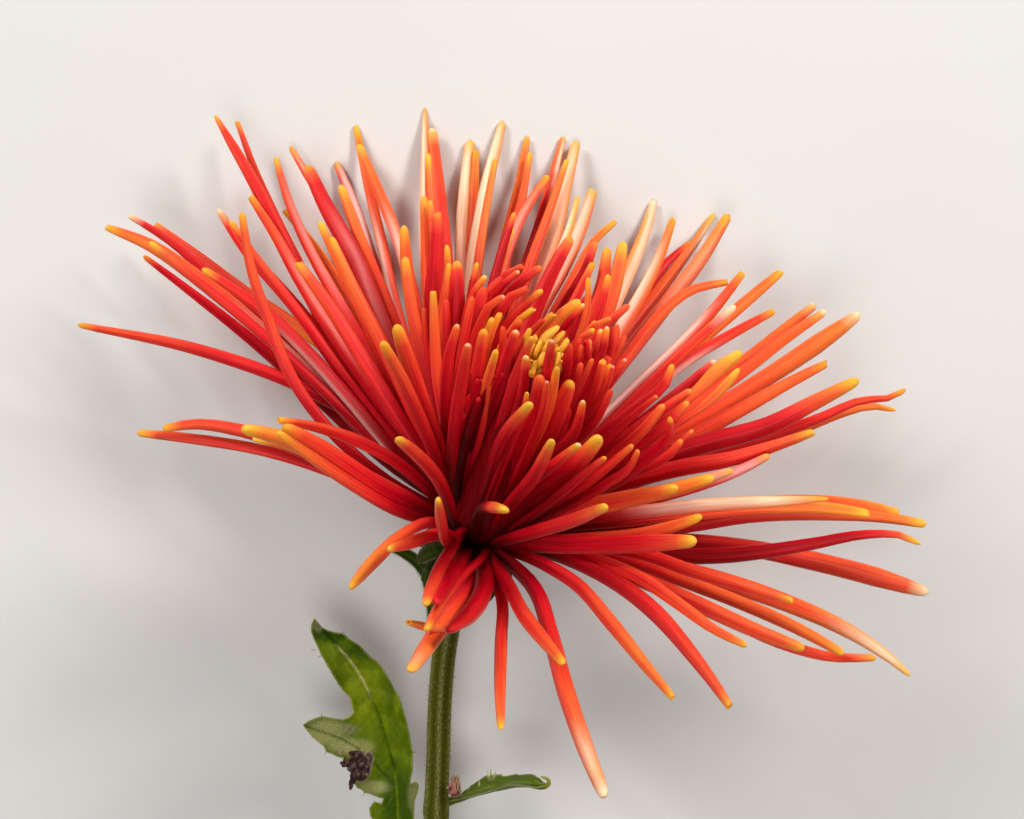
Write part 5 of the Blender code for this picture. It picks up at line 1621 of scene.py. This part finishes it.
def leaf_height(px, py, away):
    """Return the height of the left leaf's middle surface over the head root."""
    lifted = LEAF_LEFT_HEIGHT + LEAF_LEFT_RISE * (LEAF_FOOT_PX - py) / LEAF_SPAN_PX + 0.5 * LEAF_THICKNESS
    main = distances(px, py, LEAF_LEFT_VEIN)
    quilt = LEAF_QUILT * (1.0 - near(side_vein_distances(px, py), LEAF_QUILT_PX))
    quilt = quilt - LEAF_VEIN_GROOVE * near(main, LEAF_GROOVE_PX)
    wave = sum(high * np.sin(px * right + start) * np.sin(py * down + shift)
               for high, right, start, down, shift in LEAF_WAVES)
    curl = LEAF_CURL * near(away, LEAF_CURL_PX)
    folds = LEAF_FOLDS * ripple(px, py, FOLD_RUNS[0]) * ripple(px, py, FOLD_RUNS[1])
    folds = folds + LEAF_CREASES * ripple(px, py, CREASE_RUN)
    crumple = patches_at(px, py, LEAF_DAMAGE) * folds
    return lifted + LEAF_LEFT_FOLD * main / PX_PER_MM + quilt + wave + curl + crumple


def leaf_height_at(px, py):
    """Return the height of the left leaf's middle surface at one pixel."""
    return float(leaf_height(px, py, 0.0))


def leaf_values(px, py, away):
    """Return the left leaf's tone, pale parts and brown at pixels."""
    main = distances(px, py, LEAF_LEFT_VEIN)
    lobe = distances(px, py, LEAF_LOBE_VEIN)
    start, stop = LEAF_WHITE_VEIN
    white = eased_all((py - start) / LEAF_FADES_PX[0]) * eased_all((stop - py) / LEAF_FADES_PX[1])
    light = eased_all((py - LEAF_LIGHT_VEIN) / LEAF_FADES_PX[2])
    tone = LEAF_TONE + patches_at(px, py, LEAF_LIGHT) - patches_at(px, py, LEAF_DARK)
    lift = LEAF_VEIN_TONE * light - LEAF_VEIN_TONE * (1.0 - light) * (1.0 - white)
    tone += near(main, LEAF_VEIN_PX) * lift
    side = near(side_vein_distances(px, py), LEAF_SIDE_VEIN_PX)
    tone -= LEAF_SIDE_VEIN_TONE * side + LEAF_LOBE_VEIN_TONE * near(lobe, LEAF_VEIN_PX)
    rim = LEAF_RIM_PALE * eased_all(1.0 - away / LEAF_RIM_PX)
    pale = np.maximum(patches_at(px, py, LEAF_GREY), rim)
    pale = pale * (1.0 - LEAF_LOBE_GREY_LOSS * near(lobe, LEAF_LOBE_GREY_PX))
    pale = np.maximum(pale, LEAF_VEIN_PALE * white * near(main, LEAF_WHITE_VEIN_PX))
    return tone, pale, patches_at(px, py, LEAF_DAMAGE)


def leaf_points(px, py, away):
    """Return the left leaf's points with their values, and the numbers of its upper and lower points."""
    heights = leaf_height(px, py, away)
    values = np.stack(leaf_values(px, py, away), axis=1)
    points = []
    columns = {}
    upper = []
    lower = []
    for n in range(len(px)):
        middle = row_point(px[n], py[n], heights[n])
        thick = 0.0 if away[n] < LEAF_EDGE else LEAF_BLADE_HALF
        upper.append(len(points))
        lower.append(len(points) + (1 if thick else 0))
        for lift in ((thick, -thick) if thick else (0.0,)):
            points.append(middle + UP * lift)
            tone, margin, brown = (float(value) for value in values[n])
            put(columns, tone=tone, margin=margin, brown=brown, grain=(middle.x, middle.y, 0.0))
    return points, columns, upper, lower


def add_leaf_skins(shape, outline):
    """Add the left leaf's upper and lower skin, which meet at its rim."""
    places = [Vector(place) for place in leaf_places(outline)]
    found = delaunay_2d_cdt(places, [], [list(range(len(outline)))], 1, LEAF_MERGE)
    px, py = np.array([tuple(point) for point in found[0]]).T
    away = distances(px, py, outline + outline[:1])
    points, columns, upper, lower = leaf_points(px, py, away)
    faces = []
    for a, b, c in found[2]:
        if (px[b] - px[a]) * (py[c] - py[a]) - (py[b] - py[a]) * (px[c] - px[a]) > 0.0:
            a, c = c, a
        faces.append((upper[a], upper[b], upper[c]))
        faces.append((lower[c], lower[b], lower[a]))
    shape.add(points, faces, columns)


def add_shreds(shape):
    """Add the dry shreds at the damaged part of the left leaf."""
    for k, pixels in enumerate(LEAF_SHREDS):
        points = [row_point(x, y, leaf_height_at(x, y) + SHRED_LIFT + SHRED_STEP * k) for x, y in pixels]
        add_blade(shape, points, SHRED_WIDTHS, SHRED_POINTS, SHRED_FACE, SHRED_BLADE, SHRED_SEED + k,
                  SHRED_TEETH)


def make_leaf_left(material):
    """Build the lobed left leaf with its damaged part, the spines on its margin and its stalk."""
    shape = Shape()
    add_leaf_skins(shape, dense_outline(LEAF_LEFT_OUTLINE, LEAF_STEP_PX))
    add_spines(shape, LEAF_SPINES, leaf_height_at)
    add_shreds(shape)
    add_petiole(shape, LEAF_LEFT_STALK, LEAF_LEFT_STALK_HALVES)
    make_piece("leaf_left_lobed", shape, material, "leaf", "leaf_left")


def add_spines(shape, spines, height_of, length=LEAF_SPINE_LENGTH, radius=SPINE_RADIUS):
    """Add the small pale spines of a leaf's margin, each by its pixel and direction."""
    draw = random.Random(LEAF_SEED)
    for px, py, right, down in spines:
        base = row_point(px - right, py - down, height_of(px, py))
        heading = Vector((right, -down, SPINE_RISE)).normalized()
        add_hair(shape, base, heading, length * draw.uniform(*SPINE_LENGTHS), draw, radius)


def add_petiole(shape, path, halves, form=STALK_BLADE):
    """Add a short leaf stalk along pixels and heights, from one half width to another."""
    thick, thin = halves
    line = even_line(row_points(path), STALK_STEPS + 1)
    halves = [thick + (thin - thick) * i / STALK_STEPS for i in range(STALK_STEPS + 1)]
    add_leaf_strip(shape, line, halves, UP, form, STALK_SEED)


def right_leaf_height(px, py):
    """Return the height of the right leaf's upper edge at one pixel."""
    return float(np.interp(px, LEAF_RIGHT_SPAN_PX, LEAF_RIGHT_HEIGHTS))


def make_leaf_right(material):
    """Build the folded right leaf, seen from its edge, with teeth and a curled tip."""
    shape = Shape()
    add_blade(shape, row_points(LEAF_RIGHT_LINE), LEAF_RIGHT_WIDTHS, LEAF_RIGHT_POINTS, LEAF_RIGHT_FACE,
              LEAF_BLADE, LEAF_RIGHT_SEED, LEAF_RIGHT_TEETH)
    add_petiole(shape, LEAF_RIGHT_HOOK, LEAF_RIGHT_HOOK_HALVES, HOOK_BLADE)
    add_spines(shape, LEAF_RIGHT_SPINES, right_leaf_height, *LEAF_TOOTH)
    add_petiole(shape, LEAF_RIGHT_STALK, LEAF_RIGHT_STALK_HALVES)
    make_piece("leaf_right_folded", shape, material, "leaf", "leaf_right")


def make_bract_leaf(material):
    """Build the narrow leaf that bends up under the head, with its hairs."""
    shape = Shape()
    line, halves = add_blade(shape, row_points(BRACT_LEAF_LINE), BRACT_LEAF_WIDTHS, BRACT_LEAF_POINTS,
                             BRACT_LEAF_FACE, NARROW_BLADE, BRACT_LEAF_SEED, BRACT_LEAF_TEETH)
    draw = random.Random(HAIR_SEED + 1)
    for _ in range(BRACT_LEAF_HAIRS):
        i = draw.randrange(2, BRACT_LEAF_POINTS - 2)
        direction = line_direction(line, i)
        across = BRACT_LEAF_FACE.cross(direction).normalized()
        side = draw.choice((-1.0, 1.0))
        rim = NARROW_BLADE.cup * halves[i]
        base = line[i] + across * (side * halves[i] * BRACT_HAIR_PLACE) + direction.cross(across) * rim
        heading = (across * side + direction * draw.uniform(*BRACT_HAIR_LEANS)).normalized()
        add_hair(shape, base, heading, draw.uniform(*BRACT_HAIR_LENGTHS), draw)
    make_piece("bract_leaf_narrow", shape, material, "leaf", "bract_leaf")


def make_axil_bud(material):
    """Build the small bud with its overlapping scales."""
    shape = Shape()
    base, top = row_points((BUD_BASE, BUD_TOP))
    axis = (top - base).normalized()
    side = axis.cross(UP).normalized()
    over = axis.cross(side)
    length = (top - base).length
    draw = random.Random(BUD_SEED)
    for k in range(BUD_SCALES):
        angle = k * GOLDEN_ANGLE
        out = side * math.cos(angle) + over * math.sin(angle)
        start = BUD_STARTS[0] + BUD_STARTS[1] * k / BUD_SCALES
        wide = BUD_SPREADS[0] - BUD_SPREADS[1] * k / BUD_SCALES
        places = [start + along for along, away, share in BUD_SCALE]
        places[-1] += draw.uniform(0.0, BUD_TIP_SPREAD)
        points = [base + axis * (place * length) + out * (away + wide * share)
                  for place, (along, away, share) in zip(places, BUD_SCALE)]
        add_blade(shape, points, BUD_WIDTHS, BUD_POINTS, axis, BUD_BLADE, draw.uniform(0.0, MOST_BLADE_SEED))
    make_piece("axil_bud_scales", shape, material, "axil_bud", "axil_bud")


# Materials


def add_node(tree, kind, inputs, **settings):
    """Add a shader node with its inputs, which are values or other nodes' sockets."""
    made = tree.nodes.new(kind)
    for name, value in settings.items():
        setattr(made, name, value)
    for name, value in inputs.items():
        if isinstance(value, bpy.types.NodeSocket):
            tree.links.new(value, made.inputs[name])
        else:
            made.inputs[name].default_value = value
    return made


def new_material(name):
    """Return an empty material's node tree, its main shader and the material."""
    material = bpy.data.materials.new(name)
    material.use_nodes = True
    tree = material.node_tree
    tree.nodes.clear()
    shader = add_node(tree, "ShaderNodeBsdfPrincipled", {})
    add_node(tree, "ShaderNodeOutputMaterial", {"Surface": shader.outputs["BSDF"]})
    return tree, shader, material


def value_of(tree, name):
    """Return the socket with a named value of the mesh."""
    return add_node(tree, "ShaderNodeAttribute", {}, attribute_name=name).outputs["Fac"]


def grain_of(tree, stretch):
    """Return the mesh's grain coordinates, stretched."""
    grain = add_node(tree, "ShaderNodeAttribute", {}, attribute_name="grain").outputs["Vector"]
    scaled = add_node(tree, "ShaderNodeVectorMath", {0: grain, 1: stretch}, operation="MULTIPLY")
    return scaled.outputs["Vector"]


def noise(tree, vector, scale, detail=3.0, rough=0.55):
    """Return a noise value between 0 and 1."""
    inputs = {"Vector": vector, "Scale": scale, "Detail": detail, "Roughness": rough}
    return add_node(tree, "ShaderNodeTexNoise", inputs).outputs["Fac"]


def maths(tree, operation, a, b, clamp=False):
    """Return the result of a sum, product or other operation."""
    made = add_node(tree, "ShaderNodeMath", {0: a, 1: b}, operation=operation, use_clamp=clamp)
    return made.outputs["Value"]


def around_zero(tree, value, strength):
    """Return a value between 0 and 1 turned into one between minus and plus half the strength."""
    inputs = {0: value, 1: strength, 2: -0.5 * strength}
    return add_node(tree, "ShaderNodeMath", inputs, operation="MULTIPLY_ADD").outputs["Value"]


def spread(tree, value, low, high, to_low=0.0, to_high=1.0):
    """Return a value moved from one range to another, and kept in it."""
    inputs = {"Value": value, "From Min": low, "From Max": high, "To Min": to_low, "To Max": to_high}
    return add_node(tree, "ShaderNodeMapRange", inputs).outputs["Result"]


def ramp(tree, factor, stops):
    """Return a colour from a ramp of places and colours."""
    made = add_node(tree, "ShaderNodeValToRGB", {"Fac": factor})
    elements = made.color_ramp.elements
    while len(elements) < len(stops):
        elements.new(0.5)
    for element, (place, colour) in zip(elements, stops):
        element.position = place
        element.color = (*colour, 1.0)
    return made.outputs["Color"]


def mixed(tree, factor, first, second):
    """Return two colours mixed. Sockets 6 and 7 of the node take them, and its output 2 is the mix."""
    return add_node(tree, "ShaderNodeMix", {0: factor, 6: first, 7: second}, data_type="RGBA").outputs[2]


def bump(tree, height, strength, distance):
    """Return a bumped normal."""
    inputs = {"Height": height, "Strength": strength, "Distance": distance}
    return add_node(tree, "ShaderNodeBump", inputs).outputs["Normal"]


def set_shader(tree, shader, **inputs):
    """Set the main shader's inputs, which are values or sockets."""
    for name, value in inputs.items():
        socket = shader.inputs[name.replace("_", " ")]
        if isinstance(value, bpy.types.NodeSocket):
            tree.links.new(value, socket)
        else:
            socket.default_value = value


def veins_of(tree):
    """Return how strongly a point is on one of the thin dark veins that run along a floret."""
    inputs = {"Vector": grain_of(tree, VEIN_GRAIN), "Scale": VEINS_PER_MM, "Distortion": VEIN_BEND,
              "Detail": 2.0, "Detail Scale": VEIN_BENDS}
    waves = add_node(tree, "ShaderNodeTexWave", inputs, bands_direction="X").outputs["Fac"]
    return spread(tree, waves, VEIN_START, 1.0, 0.0, VEIN_DEPTH)


def floret_material():
    """Return the material of the red florets, with fine lines along them and painted highlights."""
    tree, shader, material = new_material("floret_skin")
    lines = noise(tree, grain_of(tree, LINE_GRAIN), 1.0)
    cloud = noise(tree, grain_of(tree, CLOUD_GRAIN), 1.0, 2.0)
    shade = maths(tree, "ADD", value_of(tree, "blush"), around_zero(tree, lines, LINE_STRENGTH))
    shade = maths(tree, "ADD", shade, around_zero(tree, cloud, CLOUD_STRENGTH), clamp=True)
    shade = maths(tree, "SUBTRACT", shade, veins_of(tree))
    colour = ramp(tree, shade, FLORET_COLOURS)
    # The pinkish and cream tints, laid on by the pale value, are painted highlights
    cream = mixed(tree, spread(tree, shade, *CREAM_HIGHLIGHT_RANGE), (*PINKISH_HIGHLIGHT, 1.0), (*CREAM_HIGHLIGHT, 1.0))
    highlight_streaks = spread(tree, noise(tree, grain_of(tree, HIGHLIGHT_STREAK_GRAIN), 1.0, 2.0), *HIGHLIGHT_STREAK_RANGE)
    pale = maths(tree, "MULTIPLY", value_of(tree, "pale"), highlight_streaks, clamp=True)
    colour = mixed(tree, pale, colour, cream)
    set_shader(tree, shader, Base_Color=colour, Roughness=spread(tree, lines, *FLORET_GLOSS),
               Normal=bump(tree, lines, BUMP, BUMP_HEIGHT), **FLORET_SKIN)
    return material


def disc_material():
    """Return the material of the yellow centre."""
    tree, shader, material = new_material("disc_yellow")
    speckle = noise(tree, grain_of(tree, DISC_GRAIN), SPECKLES_PER_MM)
    shade = around_zero(tree, speckle, SPECKLE_STRENGTH)
    shade = maths(tree, "ADD", value_of(tree, "blush"), shade, clamp=True)
    # The cream tint is a painted highlight, laid on where the pale value is above zero
    colour = mixed(tree, value_of(tree, "pale"), ramp(tree, shade, DISC_COLOURS), (*CREAM_HIGHLIGHT, 1.0))
    set_shader(tree, shader, Base_Color=colour, Roughness=spread(tree, speckle, *DISC_GLOSS),
               Normal=bump(tree, speckle, *SPECKLE_BUMP), **DISC_SKIN)
    return material


def green_material(name, stops, pale, browns, fibres, specks, gloss, smooth):
    """Return a leaf or stem material whose tone, pale parts and brown parts come from the mesh."""
    tree, shader, material = new_material(name)
    fibre = noise(tree, grain_of(tree, fibres), 1.0, *FIBRE_NOISE)
    speck = noise(tree, grain_of(tree, specks), 1.0, *SPECK_NOISE)
    mottle = noise(tree, grain_of(tree, MOTTLE_GRAIN), 1.0, 3.0)
    tone = maths(tree, "ADD", value_of(tree, "tone"), around_zero(tree, fibre, FIBRE_STRENGTH))
    tone = maths(tree, "ADD", tone, around_zero(tree, speck, SPECK_STRENGTH))
    tone = maths(tree, "ADD", tone, around_zero(tree, mottle, MOTTLE_STRENGTH), clamp=True)
    colour = ramp(tree, tone, stops)
    margin = spread(tree, speck, *MARGIN_RANGE, smooth)
    pale_part = maths(tree, "MULTIPLY", value_of(tree, "margin"), margin)
    # Pale specks are partly hairs and partly painted sheen
    pale_part = maths(tree, "ADD", pale_part, spread(tree, speck, *PALE_SPECK_AND_SHEEN_RANGE), clamp=True)
    colour = mixed(tree, pale_part, colour, (*pale, 1.0))
    crumbs = noise(tree, grain_of(tree, CRUMB_GRAIN), 1.0, *CRUMB_NOISE)
    blotch = maths(tree, "ADD", value_of(tree, "brown"), around_zero(tree, crumbs, CRUMB_STRENGTH))
    dark, dry = ((*brown, 1.0) for brown in browns)
    brown = mixed(tree, spread(tree, crumbs, *DRY_RANGE), dark, dry)
    brown = mixed(tree, spread(tree, blotch, *BROWN_RIM_RANGE), dry, brown)
    colour = mixed(tree, spread(tree, blotch, *BROWN_RANGE), colour, brown)
    relief = maths(tree, "ADD", fibre, speck)
    set_shader(tree, shader, Base_Color=colour, Roughness=spread(tree, fibre, *GLOSS_FROM, *gloss),
               Normal=bump(tree, relief, BUMP, BUMP_HEIGHT), Specular_IOR_Level=GREEN_SHINE)
    return material
# Surroundings


def make_floor():
    """Build the pale surface that the flower lies on."""
    mesh = bpy.data.meshes.new("floor")
    half = FLOOR_SIZE / 2
    corners = [(-half, -half, 0.0), (half, -half, 0.0), (half, half, 0.0), (-half, half, 0.0)]
    mesh.from_pydata(corners, [], [(0, 1, 2, 3)])
    tree, shader, material = new_material("floor_paper")
    place = add_node(tree, "ShaderNodeTexCoord", {}).outputs["Object"]
    tooth = noise(tree, place, FLOOR_TOOTH_SCALE, 4.0)
    colour = ramp(tree, noise(tree, place, FLOOR_WASH_SCALE, 2.0), FLOOR_COLOURS)
    set_shader(tree, shader, Base_Color=colour, Roughness=FLOOR_ROUGHNESS,
               Normal=bump(tree, tooth, *FLOOR_BUMP))
    mesh.materials.append(material)
    floor = bpy.data.objects.new("floor", mesh)
    bpy.context.scene.collection.objects.link(floor)


def add_light(name, place, target, size, power, colour):
    """Add a soft square light that shines at a point."""
    light = bpy.data.lights.new(name, "AREA")
    light.size = size
    light.energy = power
    light.color = colour
    lamp = bpy.data.objects.new(name, light)
    lamp.location = place
    lamp.rotation_euler = (Vector(target) - Vector(place)).to_track_quat("-Z", "Y").to_euler()
    bpy.context.scene.collection.objects.link(lamp)


def make_lights():
    """Add the studio lights and the dim air round them."""
    for name, place, size, power, colour in LIGHTS:
        add_light(name, place, LIGHT_TARGET, size, power, colour)
    world = bpy.data.worlds.new("studio")
    bpy.context.scene.world = world
    world.use_nodes = True
    background = world.node_tree.nodes["Background"]
    background.inputs["Color"].default_value = (*WORLD_COLOUR, 1.0)
    background.inputs["Strength"].default_value = WORLD_STRENGTH


def make_camera():
    """Add the camera at the photograph's viewing angle."""
    camera = bpy.data.cameras.new("camera")
    camera.sensor_width = SENSOR_WIDTH
    camera.lens = SENSOR_WIDTH * VIEW_DISTANCE / (PICTURE_WIDTH / PX_PER_MM)
    camera.clip_start = CLIP_START
    holder = bpy.data.objects.new("camera", camera)
    away = Vector((CENTRE_PX[0] - ROOT_PX[0], ROOT_PX[1] - CENTRE_PX[1], 0.0)) / PX_PER_MM
    holder.location = (HEAD_ROOT + away + Vector((0.0, 0.0, VIEW_DISTANCE))) * MM
    bpy.context.scene.collection.objects.link(holder)
    bpy.context.scene.camera = holder


def set_picture():
    """Keep the picture's colours as the lights give them."""
    view = bpy.context.scene.view_settings
    view.view_transform = "Standard"
    view.look = "None"
    view.exposure = EXPOSURE


def make_ray_florets():
    """Build every red floret and the body under them."""
    skin = floret_material()
    make_long_florets(skin)
    make_standing_florets(skin)
    make_inner_florets(skin)
    make_core(skin)


def make_green_parts():
    """Build the cup, the stem, the leaves and the bud."""
    leaf, stem, bract, bud = (green_material(name, *skin) for name, skin in GREEN_SKINS.items())
    make_involucre(bract)
    make_stem(stem)
    make_stem_hairs(stem)
    make_leaf_left(leaf)
    make_leaf_right(leaf)
    make_bract_leaf(leaf)
    make_axil_bud(bud)


def main():
    """Build every piece, the floor, the lights and the camera."""
    set_picture()
    make_camera()
    make_lights()
    make_floor()
    make_ray_florets()
    make_disc_florets(disc_material())
    make_green_parts()


main()
